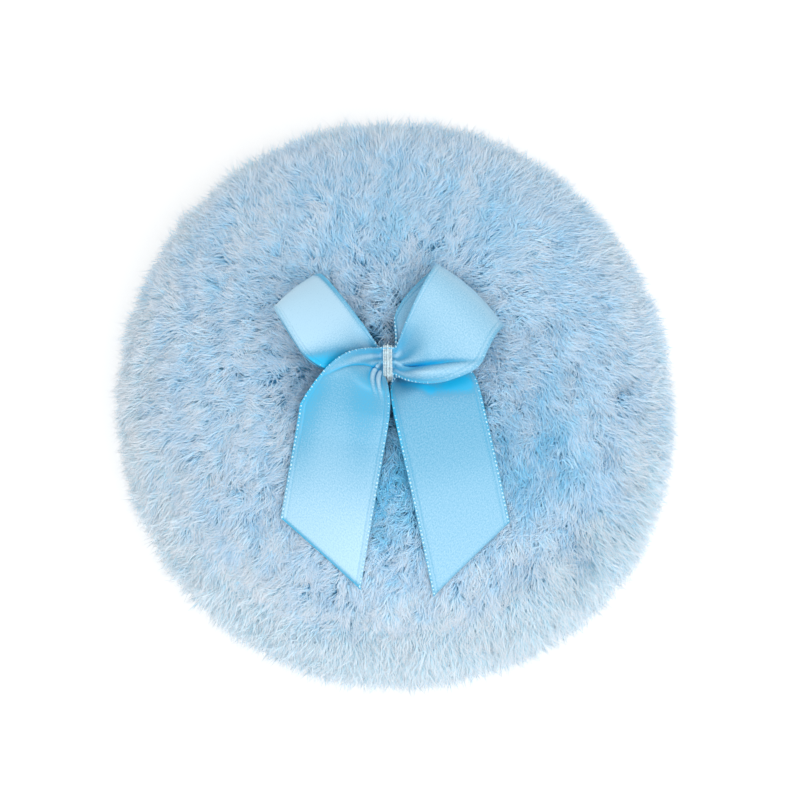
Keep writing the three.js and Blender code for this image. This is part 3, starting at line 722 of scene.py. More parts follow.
def pile_tone(roots, top, seed):
    """How pale each tuft is: it falls from left to right and from front to back and wavers by two smooth random
    fields, down to a floor. The base starts paler, as painted light on its shaded underside. The crown has patches,
    each e to the power of minus its two falls: painted shade under the tails, painted light above the knot, and
    deeper tone right of the tails and above the loops."""
    x, y = roots[:, 0] / MM, roots[:, 1] / MM
    tone = (TONE_TOP if top else TONE_BASE_AND_LIGHT) - TONE_SLOPE * x - TONE_SLOPE * y
    tone = tone + 0.05 * ripple(roots, 14 * MM, seed + 6) + 0.12 * ripple(roots, 4 * MM, seed + 7)
    tone = np.maximum(tone, TONE_FLOOR)
    for amount, x_middle, x_half, y_middle, y_half, power in TONE_LIGHT_AND_SHADE_PATCHES if top else ():
        tone = tone + amount * np.exp(-(((x - x_middle) / x_half) ** 2) - ((y - y_middle) / y_half) ** power)
    return tone


def grow_pile(pad, rings, tufts, top, sectors, name, node_name, seed):
    """Tufts of strands over the rings, combed by one field of headings, as one piece for each sector of the pad.

    The tufts are calmer and less bunched on the right. Near the seam the strands are shorter, with a few longer ones,
    and between the loops, above the knot, they are longer. A shallow furrow presses them down round the front, with
    painted shade in it. They stay under the dome of the crown except near the rim, and grow paler towards the rim,
    most
    at the front right: partly their own tone and partly painted light that lifts the shade on the steep rim."""
    rng = np.random.default_rng(seed)
    roots, normals, slopes, ways = spread_places(rings, tufts)
    calm = 1 - CALM_SHARE * ease(roots[:, 0], CALM_START, CALM_WIDTH)
    heading, strength = comb_tufts(roots, slopes, ways, calm, top, seed, rng)

    spare = np.repeat(np.arange(tufts), pad.tuft_strands)
    strands = len(spare)
    away = rng.normal(size=(strands, 2)) * TUFT_SPREAD
    offset = slopes[spare] * away[:, :1] + ways[spare] * away[:, 1:]
    near_seam = ease(np.linalg.norm(roots[:, :2], axis=1), RIM_START, RIM_WIDTH)[spare]
    flick = rng.normal(size=strands) * (FLICK + RIM_FLICK * near_seam)
    way = unit(turned(heading[spare], np.cross(normals, heading)[spare], flick))
    stand = STAND_WAVER * ripple(roots, 8 * MM, seed + 3) + rng.normal(size=tufts) * STAND_TUFT
    stand = (stand * calm)[spare] + rng.normal(size=strands) * STAND_STRAND
    lean = (LEAN_LEAST + LEAN_COMBED * strength)[spare] * (1 - RIM_UPRIGHT * near_seam)
    lean = np.stack([BEND_LEAN * lean + BEND_STAND * stand, TIP_LEAN * lean + stand], -1)
    curl = (CURL_WAVER * ripple(roots, 4 * MM, seed + 4) + rng.normal(size=tufts) * CURL_CHANCE)[spare]
    length = 1 + LENGTH_WAVER * ripple(roots, 8 * MM, seed + 5)[spare] + rng.normal(size=strands) * LENGTH_CHANCE
    at_rim = RIM_LONGER * rng.random(strands) ** 3 - RIM_SHORTER
    length = pad.strand_length * length * (1 + near_seam * at_rim)
    if top:
        apart = (roots - ABOVE_KNOT)[spare, :2] / BETWEEN_LOOPS
        length = length * (1 + KNOT_LONGER * np.exp(-(apart**2).sum(1)))
    paths = strand_paths(roots[spare], normals[spare], way, lean, curl, length)
    bunch = (BUNCH + BUNCH_BEHIND * ease(roots[:, 1], BUNCH_START, BUNCH_WIDTH)) * calm
    gather = 1 - np.array([0, STRAND_BEND, 1]) * ((1 - RIM_LOOSE * near_seam) * bunch[spare])[:, None]
    paths = paths + offset[:, None] * gather[..., None]

    tip = paths[:, 2]
    tip_reach = round_distance(pad, tip)
    bearing = np.arctan2(tip[:, 1], tip[:, 0])
    furrow = np.zeros(strands)
    if top:
        furrow = bell((tip_reach - FURROW_RADIUS) / FURROW_WIDTH) * np.maximum(0.2 - 0.8 * np.sin(bearing + 0.25), 0)
    paths = lerp(paths, roots[spare][:, None] + offset[:, None], (FURROW_DEPTH * furrow)[:, None, None])
    reach = round_distance(pad, paths)
    over = np.maximum(paths[..., 2] - (dome_height(pad, reach) + STRAND_FLOOR), 0)
    paths[..., 2] -= over * (1 - ease(reach, DOME_FADE_START, DOME_FADE_WIDTH))
    paths[..., 2] = np.maximum(paths[..., 2], STRAND_FLOOR + FLOOR_CHANCE * rng.random(strands)[:, None])

    # Tone with painted shade in the furrow, and towards the rim a paler tone that is partly painted light
    tone = pile_tone(roots, top, seed)[spare] + rng.normal(size=strands) * TONE_CHANCE - FURROW_SHADE * furrow
    front = FRONT_TONE_AND_LIGHT * bell((bearing - FRONT_BEARING) / FRONT_SPREAD)
    tone = tone + RIM_TONE_AND_LIGHT * ease(tip_reach, 30 * MM, 11 * MM) + front * ease(tip_reach, 25 * MM, 8 * MM)
    radius = pad.strand_width / 2 * rng.uniform(0.8, 1.15, strands) * (1 - RIM_THINNER * near_seam)
    sector = ((np.arctan2(roots[:, 1], roots[:, 0]) / (2 * np.pi)) % 1 * sectors).astype(int)[spare]
    material = bpy.data.materials.get("plush_pile") or pile_material(pad)
    for part in range(sectors):
        chosen = sector == part
        obj = strand_mesh(f"{name}_{part + 1}", paths[chosen], radius[chosen], tone[chosen], rng)
        finish_piece(obj, material, "plush", "puff", node_name)


class PUFF_OT_pile(bpy.types.Operator):
    """Grows the pile on both covers"""

    bl_idname = "puff.make_pile"
    bl_label = "Pile"

    def execute(self, context):
        pad = context.scene.puff_pad
        rings = pad_surface(pad)
        grow_pile(pad, rings[:CROWN_RINGS], pad.crown_tufts, True, 8, "plush_top_pile", "top_cover", 101)
        grow_pile(pad, rings[CROWN_RINGS - 1:], pad.base_tufts, False, 3, "plush_bottom_pile", "bottom_cover", 201)
        return {"FINISHED"}


# Threads

def plied_thread(name, path, reference, width, plies, lay):
    """Thread along a path: a lobed section, one lobe for each ply, turned once for each length of lay.

    The section's radius is half the width, less a share by the absolute sine of half the plies times the angle. The
    frame of each section is the path's direction crossed with a reference direction that is never along it.
    """
    sides, groove = 12, 0.24
    ahead = unit(np.gradient(path, axis=0))
    side = unit(np.cross(ahead, reference))
    third = np.cross(ahead, side)
    spin = 2 * np.pi * np.arange(sides) / sides
    lobes = 1 - groove * np.abs(np.sin(plies / 2 * spin))
    angle = spin + (2 * np.pi * running_length(path) / lay)[:, None]
    rings = path[:, None] + width / 2 * lobes[None, :, None] * turned(side[:, None], third[:, None], angle)
    return put_mesh(name, rings, [part[:, ::-1] for part in closed_bag(len(path), sides)])


def thread_material(name, colour):
    """Spun thread: fine fibres along the object as bump, and a paler and a deeper ply."""
    colours = [(0.35, deeper(colour, 0.86)), (0.6, colour)]
    noise = {"Scale": 3200.0, "Detail": 3.0}
    return mottled(name, noise, colours, (0.4, 0.00005), Roughness=0.55, Sheen_Weight=0.2)


def running_stitch(pad, first_hole, stitches):
    """Stitch path round the seam: over the upper layer, down, under the lower one and up, an ease at each hole."""
    pitch = 2 * np.pi / STITCH_COUNT
    rise, overhang, hole, samples = 2.0 * MM, 0.4, 0.075, 44
    along = np.linspace(first_hole - overhang, first_hole + stitches - 1 + overhang, stitches * samples)
    nearest = np.round(along)
    through = smooth((along - nearest) / hole + 0.5)
    z = pad.seam_height + np.where(nearest % 2 == 0, 1, -1) * rise * (1 - 2 * through)
    out = np.stack([np.cos(along * pitch), np.sin(along * pitch), np.zeros_like(along)], -1)
    return STITCH_RADIUS * out * [1, pad.length / pad.width, 1] + z[:, None] * UP, out


class PUFF_OT_seam(bpy.types.Operator):
    """Sews the seam: the long run of stitches and the few that close the opening"""

    bl_idname = "puff.make_seam"
    bl_label = "Seam threads"

    def execute(self, context):
        pad = context.scene.puff_pad
        material = thread_material("seam_thread_blue", pad.seam_thread)
        seam_stitches = STITCH_COUNT - CLOSING_STITCHES
        stretches = [("seam_thread", 0, seam_stitches), ("closing_thread", seam_stitches, CLOSING_STITCHES)]
        width, plies, lay = 0.42 * MM, 3, 1.3 * MM
        for name, first, count in stretches:
            path, out = running_stitch(pad, first, count)
            obj = plied_thread(f"{name}_plied", path, out, width, plies, lay)
            finish_piece(obj, material, "seam_thread", "puff", name)
        return {"FINISHED"}


def waist_outline(share, offset):
    """Point on a rounded oblong round the waist, by share of its length, from the middle of its underside."""
    w, h = WAIST_HALF_WIDTH, WAIST_HALF_HEIGHT
    bend = np.linspace(0, np.pi / 2, 9)
    corners = [(w, -h, -np.pi / 2), (w, h, 0), (-w, h, np.pi / 2), (-w, -h, np.pi)]
    points = [np.array([[0, -h - offset]])]
    for x, y, start in corners:
        points.append(np.stack([x + offset * np.cos(start + bend), y + offset * np.sin(start + bend)], -1))
    points.append(points[0])
    points = np.concatenate(points)
    run = running_length(points)
    at = np.mod(share, 1) * run[-1]
    return np.interp(at, run, points[:, 0]), np.interp(at, run, points[:, 1])


class PUFF_OT_bow_threads(bpy.types.Operator):
    """Winds the thread round the bow's waist and makes the stitch that holds the bow to the crown"""

    bl_idname = "puff.make_bow_threads"
    bl_label = "Bow threads"

    def execute(self, context):
        """The winding is the waist's outline carried sideways by one thread width a turn; the stitch goes up through
        the crown, once round the waist and down to a knot of three turns under the backing."""
        bow = context.scene.puff_bow
        material = thread_material("bow_thread_white", bow.thread)
        plies, turn_points, pitch = 2, 90, 1.02 * bow.thread_width
        turns = np.linspace(0, bow.thread_turns, bow.thread_turns * turn_points)
        x, y = waist_outline(turns, THREAD_OFF_WAIST)
        path = np.stack([pitch * (turns - bow.thread_turns / 2), x, WAIST_Z + y], -1)
        winding = plied_thread("bow_winding", path, np.array([1.0, 0, 0]), bow.thread_width, plies, THREAD_LAY)
        finish_piece(winding, material, "bow_thread", "bow", "bow_tie_thread")

        leg, leg_end, opening = 0.35 * MM, 0.3 * MM, 0.03
        knot_half, knot_weave, knot_gap, knot_depth = 0.8 * MM, 0.25 * MM, 0.1 * MM, 0.5 * MM
        x, y = waist_outline(np.linspace(opening, 1 - opening, 100), THREAD_OFF_WAIST + bow.thread_width)
        over = np.stack([0 * x, x, WAIST_Z + y], -1)
        climb = np.linspace(ANCHOR_KNOT_Z, over[0, 2] - leg_end, 40)
        up = np.stack([0 * climb, leg + 0 * climb, climb], -1)
        down = up[::-1] * [1, -1, 1]
        turn = np.linspace(0, 6 * np.pi, 120)
        knot_y = leg * np.cos(turn / 6) + knot_weave * np.sin(2 * turn)
        knot_z = ANCHOR_KNOT_Z - knot_gap - knot_depth * (1 - np.cos(turn)) / 2
        knot = np.stack([knot_half * np.sin(turn), knot_y, knot_z], -1)
        path = np.concatenate([up, over, down[:-1], knot[::-1]])
        stitch = plied_thread("bow_stitch", path, np.array([1.0, 0.02, 0.01]), bow.thread_width, plies, THREAD_LAY)
        finish_piece(stitch, material, "bow_thread", "bow", "bow_anchor_thread")
        return {"FINISHED"}


# Ribbon

# Each stretch of the ribbon, in millimetres and degrees: the way it leaves the waist, its length, the run in which
# it opens, its layer at the waist, how far its outer and inner edges are drawn straight, how far each then bulges
# near the waist and far from it, and how pale it is painted where it lies open, a painted sheen for how the stretch
# faces the light; on the tails, cut is the painted shade along the cut edge
STRETCHES = {
    "left_tail": dict(side=-1, turn=-80, bend=8, length=28.7, spread=8.5, layer=1, straight=(0.4, 1.0),
                      humps=((0, -0.2), (0.7, 0.2)), painted_sheen=0.9, arch=2.2, cut=1.2),
    "right_loop": dict(side=1, turn=48.5, bend=5, length=14.4, spread=8, layer=1, straight=(0.95, 0),
                       humps=((0, 0), (3.0, -0.4)), painted_sheen=0.64, opening=3.6, roll=0, shift=2.2, skew=0.02,
                       roundness=0.055),
    "left_loop": dict(side=-1, turn=48.5, bend=8, length=15.3, spread=8, layer=0, straight=(1.0, 0.2),
                      humps=((0, 0), (0.8, 0)), painted_sheen=1.0, opening=2.4, roll=44, shift=0.2, skew=0.06,
                      roundness=0.02),
    "right_tail": dict(side=1, turn=-77.3, bend=10.2, length=30.3, spread=7.5, layer=-1, straight=(0, 1.0),
                       humps=((0, 0), (0.85, 0)), painted_sheen=0.52, arch=0, cut=0.2),
}
# Creases and ridges that fan from the waist: place across the ribbon, depth, width across, reach in millimetres, how
# far the place slides over that reach, and the painted shade in the crease, a painted highlight where it is below
# zero
CREASES = {
    "left_tail": [(-0.02, 0.5, 0.055, 7.5, -0.65, 1.7), (-0.36, 0.6, 0.05, 8, -0.45, 1.8),
                  (-0.66, 0.5, 0.045, 7.5, -0.23, 1.7), (-0.19, -0.4, 0.09, 8, -0.55, -1.4),
                  (-0.51, -0.4, 0.085, 8, -0.33, -1.6), (-0.6, 0.6, 0.08, 8.5, 2.1, 1.6),
                  (0.3, -0.2, 0.2, 7, 0.3, -0.4)],
    "right_loop": [(-0.05, 1.1, 0.07, 9, -1.04, 1.9), (-0.5, -0.9, 0.16, 9.5, -0.6, -0.2),
                   (0.5, 0.3, 0.15, 6, 0.1, 0.3)],
    "left_loop": [(-0.3, 0.35, 0.2, 6, 0.0, 0.3)],
    "right_tail": [(0.1, 0.3, 0.16, 6, 0.0, 0.3), (-0.5, 0.3, 0.14, 6, 0.0, 0.3)],
}
# Painted shadow and shade along lines on the flat ribbon: shadows under a stretch or lip that lies over it, and
# darker streaks and edge bands of the satin's sheen. Each fades from the first end to the other: each end's place
# across and run, the width, and the amount
PAINTED_SHADOWS = {
    "left_tail": [((-0.4, 6), (-0.55, 18), 2.2, 0.25), ((0.9, 8), (0.75, 20), 1.8, 0.35)],
    "right_loop": [],
    "left_loop": [((-1, 5.6), (0, 4.0), 1.5, 1.6), ((0.93, 15.5), (0.93, 4), 0.7, 1.1)],
    "right_tail": [((0.75, 7.5), (-0.05, 6.8), 0.75, 1.5), ((-0.05, 6.7), (-0.8, 1.5), 0.6, 0.8),
                   ((-1, 3), (-1, 14), 0.35, 1.2)],
}


def plan_path(run, side, turn, bend):
    """Middle line in plan: it leaves the waist sideways and turns by a sine ease. Gives points and ways across."""
    fine = np.linspace(0, 60 * MM, 2401)
    heading = np.radians(turn) * np.sin(np.pi / 2 * np.clip(fine / bend, 0, 1))
    step = np.stack([side * np.cos(heading), np.sin(heading)], -1)
    line = np.cumsum((step[1:] + step[:-1]) / 2 * np.diff(fine)[:, None], axis=0)
    line = np.concatenate([[[0, 0]], line]) + [side * WAIST_HALF_LENGTH, 0]
    at = np.interp(run, fine, heading)
    point = np.stack([np.interp(run, fine, line[:, 0]), np.interp(run, fine, line[:, 1])], -1)
    return point, np.stack([-side * np.sin(at), np.cos(at)], -1)


def layer_height(pad, bow, plan):
    """Middle layer of ribbon over its plan: the waist, then the crown further out."""
    settle = ease(np.linalg.norm(plan, axis=-1), WAIST_HALF_LENGTH, WAIST_SETTLE)
    return lerp(WAIST_Z, dome_height(pad, round_distance(pad, plan)) + RIBBON_LIE + bow.layer_pitch, settle)


def gathers(bow, name, run, u, spread, front):
    """Folds of the gathered ribbon: a wide and a narrow cosine across it that fade as it opens, and bell-shaped
    creases that fan out from the waist. Gives the height, and the painted shade: painted shade in the valleys, a
    painted highlight on the ridges and painted shadow where another stretch lies over."""
    wide_depth, narrow_depth, valley_shade = 0.3 * MM, 0.13 * MM, 0.3
    narrow = (1 - smooth(run / (0.6 * spread))) * np.cos(11 * u + 0.8)
    folds = wide_depth * (1 - smooth(run / spread)) * np.cos(2 * np.pi * u) + narrow_depth * narrow
    painted_shade = -valley_shade * narrow
    for place, depth, width, reach, slide, crease_shade in CREASES[name]:
        fade = smooth(run / (1.5 * MM)) * (1 - smooth(run / (reach * MM)))
        middle = place + slide * np.clip(run / (reach * MM), 0, 1)
        crease = front * fade * bell((u - middle) / width)
        folds = folds - depth * MM * crease
        # Painted shade in the crease, or a painted highlight on a ridge
        painted_shade = painted_shade + crease_shade * crease
    scale = np.array([bow.ribbon_width / 2 / MM, 1])
    flat = np.stack([u, run / MM], -1) * scale
    for start, end, width, amount in PAINTED_SHADOWS[name]:
        start, way = start * scale, (np.array(end) - start) * scale
        share = np.clip((flat - start) @ way / (way @ way), 0, 1)
        off = np.linalg.norm(flat - start - share[..., None] * way, axis=-1)
        # Painted shadow along the listed lines
        painted_shade = painted_shade + front * amount * (1 - 0.8 * share) * bell(off / width)
    return folds, painted_shade


def edge_lines(shape, last, straight, humps, run, u):
    """Plan of a stretch with its two edges drawn towards straight lines from the waist to where the stretch is open,
    and pushed out again by two humps.

    shape(run, u) gives the plan; an edge's correction is its straight line less its own plan, and it fades across the
    ribbon by the square of the distance from the other edge. A hump is four s times one less s, at right angles to
    the line; s is the share of the run to the power 0.45 for the near hump, and to the power 1.6 for the far one,
    which is squared.
    """
    plan = shape(run, u)
    share = np.clip(run / last, 0, 1)
    early, late = share**0.45, share**1.6
    near, far = 4 * early * (1 - early), (4 * late * (1 - late)) ** 2
    for edge, amount, push in zip((1, -1), straight, humps):
        ends = [shape(np.array([at]), np.array([edge]))[0] for at in (0, last)]
        line = lerp(ends[0], ends[1], share[..., None])
        own = shape(np.minimum(run, last), np.full_like(run, edge))
        out = unit(shape(np.array([last / 2]), np.array([edge])) - shape(np.array([last / 2]), np.array([0.0])))[0]
        move = amount * (line - own) + ((push[0] * near + push[1] * far) * MM)[..., None] * out
        plan = plan + (((1 + edge * u) / 2) ** 2)[..., None] * move
    return plan


def tail_grid(pad, bow, name, v, u, side, turn, bend, length, spread, layer, straight, humps, painted_sheen, arch, cut):
    """A tail lies on the pile and ends in a slanted cut: its run is v times a length that falls from the inner edge
    (u of -1) to the outer one. The left one first arches over the left loop by a bell curve. A painted shade runs
    along the cut edge, and the colour carries painted light: paler by its painted sheen as the tail opens, with
    painted shade at the waist, in the creases and under what lies over it."""
    spread, bend, length = spread * MM, bend * MM, length * MM
    run = v * (length - bow.cut_slant / 2 * u)

    def shape(run, u):
        point, across = plan_path(run, side, turn, bend)
        half = lerp(bow.waist_height, bow.ribbon_width, smooth(run / spread)) / 2
        return point + (u * half)[..., None] * across

    xy = edge_lines(shape, TAIL_OPEN, straight, humps, run, u)
    arch_at, arch_half, cut_shade_width = 4.6 * MM, 3.6 * MM, 0.35 * MM
    sag_depth, sag_length, waist_painted_light = 0.12 * MM, 17 * MM, 0.25
    level = bow.layer_pitch * lerp(layer, -1, ease(run, 5 * MM, 9 * MM))
    hump = arch * MM * bell((run - arch_at) / arch_half) * smooth(run / WAIST_HALF_LENGTH)
    sag = sag_depth * np.sin(2 * np.pi * run / sag_length + side) * ease(run, 8 * MM, 6 * MM)
    folds, painted_shade = gathers(bow, name, run, u, spread, 1)
    # Painted shade along the cut edge
    painted_shade = painted_shade + cut * bell((1 - v) * length / cut_shade_width)
    z = layer_height(pad, bow, xy) + level + hump + sag + folds
    # Painted light: paler by the stretch's painted sheen as it opens, less the painted shade
    painted_light = waist_painted_light + (painted_sheen - waist_painted_light) * smooth(run / length - 0.15) - painted_shade
    return np.concatenate([xy, z[..., None]], -1), painted_light


def loop_grid(pad, bow, name, v, u, side, turn, bend, length, spread, layer, straight, humps, painted_sheen, opening,
              roll, shift, skew, roundness):
    """A loop runs out to its fold as the front layer (v below one half) and back under it: its run is the length
    times the squared sine of half a turn of v. The layers part by share^1.5 times the root of one less the share,
    the fold leans up at its outer edge by the roll, and the back layer lies a little further to the outer edge. The
    run grows towards the outer edge by the skew and in the middle of the width by the roundness."""
    spread, bend, length = spread * MM, bend * MM, length * MM
    share = np.sin(np.pi * v) ** 2
    front = (v < 0.5) * 1.0
    waist_painted_light, inside_painted_light, lean_power, shift_power = 0.3, 0.42, 1.3, 0.6

    def half_width(run):
        return lerp(bow.waist_height, bow.ribbon_width, smooth(run / spread)) / 2

    def shape(run, u):
        point, across = plan_path(run, side, turn, bend)
        lean = np.radians(roll) * (run / length) ** lean_power
        return point + (u * half_width(run) * np.cos(lean))[..., None] * across

    run = length * share * (1 + skew * u * share + roundness * (1 - u * u) * share)
    lean = np.radians(roll) * share**lean_power
    xy = edge_lines(shape, length, straight, humps, run, u)
    early = share**shift_power
    aside = (1 - front) * shift * MM * 4 * early * (1 - early)
    xy = xy + aside[..., None] * plan_path(run, side, turn, bend)[1]
    peak = 0.75**1.5 * 0.5
    apart = opening * MM / peak * share**1.5 * np.sqrt(np.maximum(1 - share, 0)) + bow.layer_pitch * (1 - share)
    level = bow.layer_pitch * (layer - 1) + front * apart + (1 - u) * half_width(run) * np.sin(lean)
    folds, painted_shade = gathers(bow, name, run, u, spread, front)
    z = layer_height(pad, bow, xy) + level + folds
    # Painted light: paler by the stretch's painted sheen as the loop opens, less the painted shade; the back layer
    # inside the loop gets painted shade
    painted_light = lerp(waist_painted_light, painted_sheen, smooth(1.6 * share)) - painted_shade
    inside = (1 - front) * (1 - ease(share, 0.75, 0.25))
    return np.concatenate([xy, z[..., None]], -1), lerp(painted_light, inside_painted_light, inside)


def ribbon_grid(pad, bow, u):
    """Middle surface of the whole ribbon, row by row: left tail, right loop, left loop, right tail, with straight
    passes through the waist between them."""
    # Painted shade on the straight passes through the gathered waist
    waist_painted_light = 0.2
    tail, loop = np.linspace(0, 1, TAIL_ROWS) ** 1.3, np.linspace(0, 1, LOOP_ROWS)
    plan = [("left_tail", tail_grid, tail[::-1]), ("right_loop", loop_grid, loop), ("left_loop", loop_grid, loop)]
    plan.append(("right_tail", tail_grid, tail))
    rows, painted_light_and_tone = [], []
    for name, shape, v in plan:
        grid, painted_light = shape(pad, bow, name, *np.meshgrid(v, u, indexing="ij"), **STRETCHES[name])
        if rows:
            share = np.linspace(0, 1, WAIST_ROWS)[1:-1, None, None]
            rows.append(lerp(rows[-1][-1], grid[0], share))
            painted_light_and_tone.append(np.full(rows[-1].shape[:2], waist_painted_light))
        rows.append(grid)
        painted_light_and_tone.append(painted_light)
    return np.concatenate(rows), np.concatenate(painted_light_and_tone)


def ribbon_columns():
    """Places across the ribbon, closer together in the woven edges."""
    edge = np.array([0.87, 0.885, 0.90, 0.92, 0.945, 0.97, 0.99, 1.0])
    return np.concatenate([-edge[::-1], np.linspace(-0.85, 0.85, 61), edge])


def sheet_frames(grid):
    """Unit way along, way across and normal of a grid, by differences between neighbours."""
    along, across = unit(np.gradient(grid, axis=0)), unit(np.gradient(grid, axis=1))
    return along, across, unit(np.cross(along, across))


def satin_material(bow):
    """Satin with painted light in its colour: a painted sheen where the ribbon lies open, painted shade in the
    gathers and creases and painted shadow under what lies over it, with fine floats as a grain and as bump. The UV
    map holds the face in its left half and the back in its right half, one across and one along."""
    gloss = {"Roughness": 0.33, "Anisotropic": 0.5, "Sheen_Weight": 0.1, "Specular_IOR_Level": 0.6}
    material, tree, shader = principled("satin_ribbon", **gloss)
    card = node(tree, "ShaderNodeUVMap", uv_map=UV_NAME).outputs["UV"]
    floats = node(tree, "ShaderNodeMapping", {"Vector": card, "Scale": (150.0, 650.0, 1.0)}).outputs["Vector"]
    streak = node(tree, "ShaderNodeTexNoise", {"Vector": floats, "Scale": 1.0, "Detail": 2.0}).outputs["Fac"]
    # Painted light and shade from the ribbon's attribute, with the grain added to it
    lie = node(tree, "ShaderNodeAttribute", attribute_name="painted_light_and_tone").outputs["Fac"]
    fleck = node(tree, "ShaderNodeMapRange", {"Value": streak, "To Min": -0.45, "To Max": 0.45})
    both = node(tree, "ShaderNodeMath", {0: lie, 1: fleck.outputs["Result"]}, operation="ADD").outputs["Value"]
    shift = node(tree, "ShaderNodeMapRange", {"Value": both, "From Min": -0.5, "From Max": 1.0}).outputs["Result"]
    # Ramp from painted shade in the creases through painted shade in the gathers to the satin with its painted sheen
    colour = ramp(tree, shift, [(0.0, bow.satin_crease_shade), (0.45, bow.satin_shade), (0.97, bow.satin)])
    bump = node(tree, "ShaderNodeBump", {"Height": streak, "Strength": 0.1, "Distance": 0.00005}).outputs["Normal"]
    tangent = node(tree, "ShaderNodeTangent", direction_type="UV_MAP", uv_map=UV_NAME).outputs["Tangent"]
    plug(tree, shader, {"Base Color": colour, "Normal": bump, "Tangent": tangent})
    return material


def picot_material(bow):
    """Picots: bright silk loops with a fine grain of the satin's own blue."""
    noise = {"Scale": 2600.0, "Detail": 2.0}
    return mottled("silk_picot", noise, [(0.2, bow.satin), (0.45, bow.picot)], Roughness=0.4)


def picot_mesh(name, centres, along, across, normal, size):
    """Small egg-shaped loops: rings of six points from pole to pole, longer along the edge than through it."""
    sides, levels, half, half_across = 6, np.linspace(0, np.pi, 5)[1:-1], 0.5, 0.44
    spin = 2 * np.pi * np.arange(sides) / sides
    out = np.sin(levels)[:, None]
    x, y = out * np.cos(spin) * half_across, out * np.sin(spin) * half
    z = np.repeat(np.cos(levels)[:, None] * half, sides, 1)
    local = np.concatenate([np.stack([x, y, z], -1).reshape(-1, 3), [[0, 0, half], [0, 0, -half]]])
    axes = np.stack([across, normal, along], 1)
    points = centres[:, None] + size[:, None, None] * (local @ axes)
    top_pole, last = len(levels) * sides, (len(levels) - 1) * sides
    k, beside = np.arange(sides), (np.arange(sides) + 1) % sides
    top = np.stack([np.full(sides, top_pole), k, beside], -1)
    low = np.stack([np.full(sides, top_pole + 1), last + beside, last + k], -1)
    shift = (np.arange(len(centres)) * len(local))[:, None, None]
    parts = (ring_quads(len(levels), sides), top, low)
    return put_mesh(name, points, [(part[None] + shift).reshape(-1, part.shape[1]) for part in parts])


def edge_picots(bow, grid, frames):
    """Picots at an even pitch along both edges of the ribbon, uneven in size by a golden sequence and smaller on the
    loops."""
    rows = np.arange(len(grid))
    on_tail = smooth(1.4 - np.minimum(rows, rows[::-1]) / TAIL_ROWS * 1.4)
    on_loop = 0.78
    parts = []
    for edge in (2, -3):
        way = running_length(grid[:, edge])
        at = np.arange(bow.bead_pitch / 2, way[-1], bow.bead_pitch)
        parts.append([np.stack([np.interp(at, way, a[:, edge, k]) for k in range(3)], -1) for a in (grid, *frames)])
        uneven = 1 - PICOT_UNEVEN * (np.arange(len(at)) * GOLDEN_SHARE % 1)
        parts[-1].append(bow.bead_size * uneven * lerp(on_loop, 1, np.interp(at, way, on_tail)))
    places, along, across, normal, size = [np.concatenate(p) for p in zip(*parts)]
    across = unit(np.cross(normal, along))
    normal = unit(np.cross(along, across))
    return picot_mesh("satin_bow_picots", places, unit(along), across, normal, size), len(places)


def sheet_faces(rows, columns):
    """Quads of a grid's face, of its back, whose points follow, and of the rim between them, and the rim's count."""
    corner = np.arange(rows - 1)[:, None] * columns + np.arange(columns - 1)[None, :]
    face = np.stack([corner, corner + columns, corner + columns + 1, corner + 1], -1).reshape(-1, 4)
    sides = [
        np.arange(columns - 1),
        np.arange(rows - 1) * columns + columns - 1,
        (rows - 1) * columns + np.arange(columns - 1, 0, -1),
        np.arange(rows - 1, 0, -1) * columns,
    ]
    rim = np.concatenate(sides)
    ahead, behind = np.roll(rim, -1), rows * columns
    edge = np.stack([rim, ahead, ahead + behind, rim + behind], -1)
    return np.concatenate([face, face[:, ::-1] + behind, edge]), len(rim)


def sheet_card(u, v, faces, rim):
    """UV pairs of a sheet's face corners: its face at the left, its back half a card further on, and the quads of its
    rim, which come last, in a strip at the right."""
    across, along = np.broadcast_arrays(0.02 + 0.22 * (u[None, :] + 1), 0.01 + 0.98 * v[:, None])
    card = np.stack([across, along], -1).reshape(-1, 2)
    uv = np.concatenate([card, card + [0.5, 0]])[faces]
    edge = uv[-rim:]
    edge[..., 1] += 0.01 * (edge[:, :1, 0] - edge[..., 0]) * [1, 1, 0, 0]
    edge[..., 0] = [0.965, 0.965, 0.985, 0.985]
    return uv


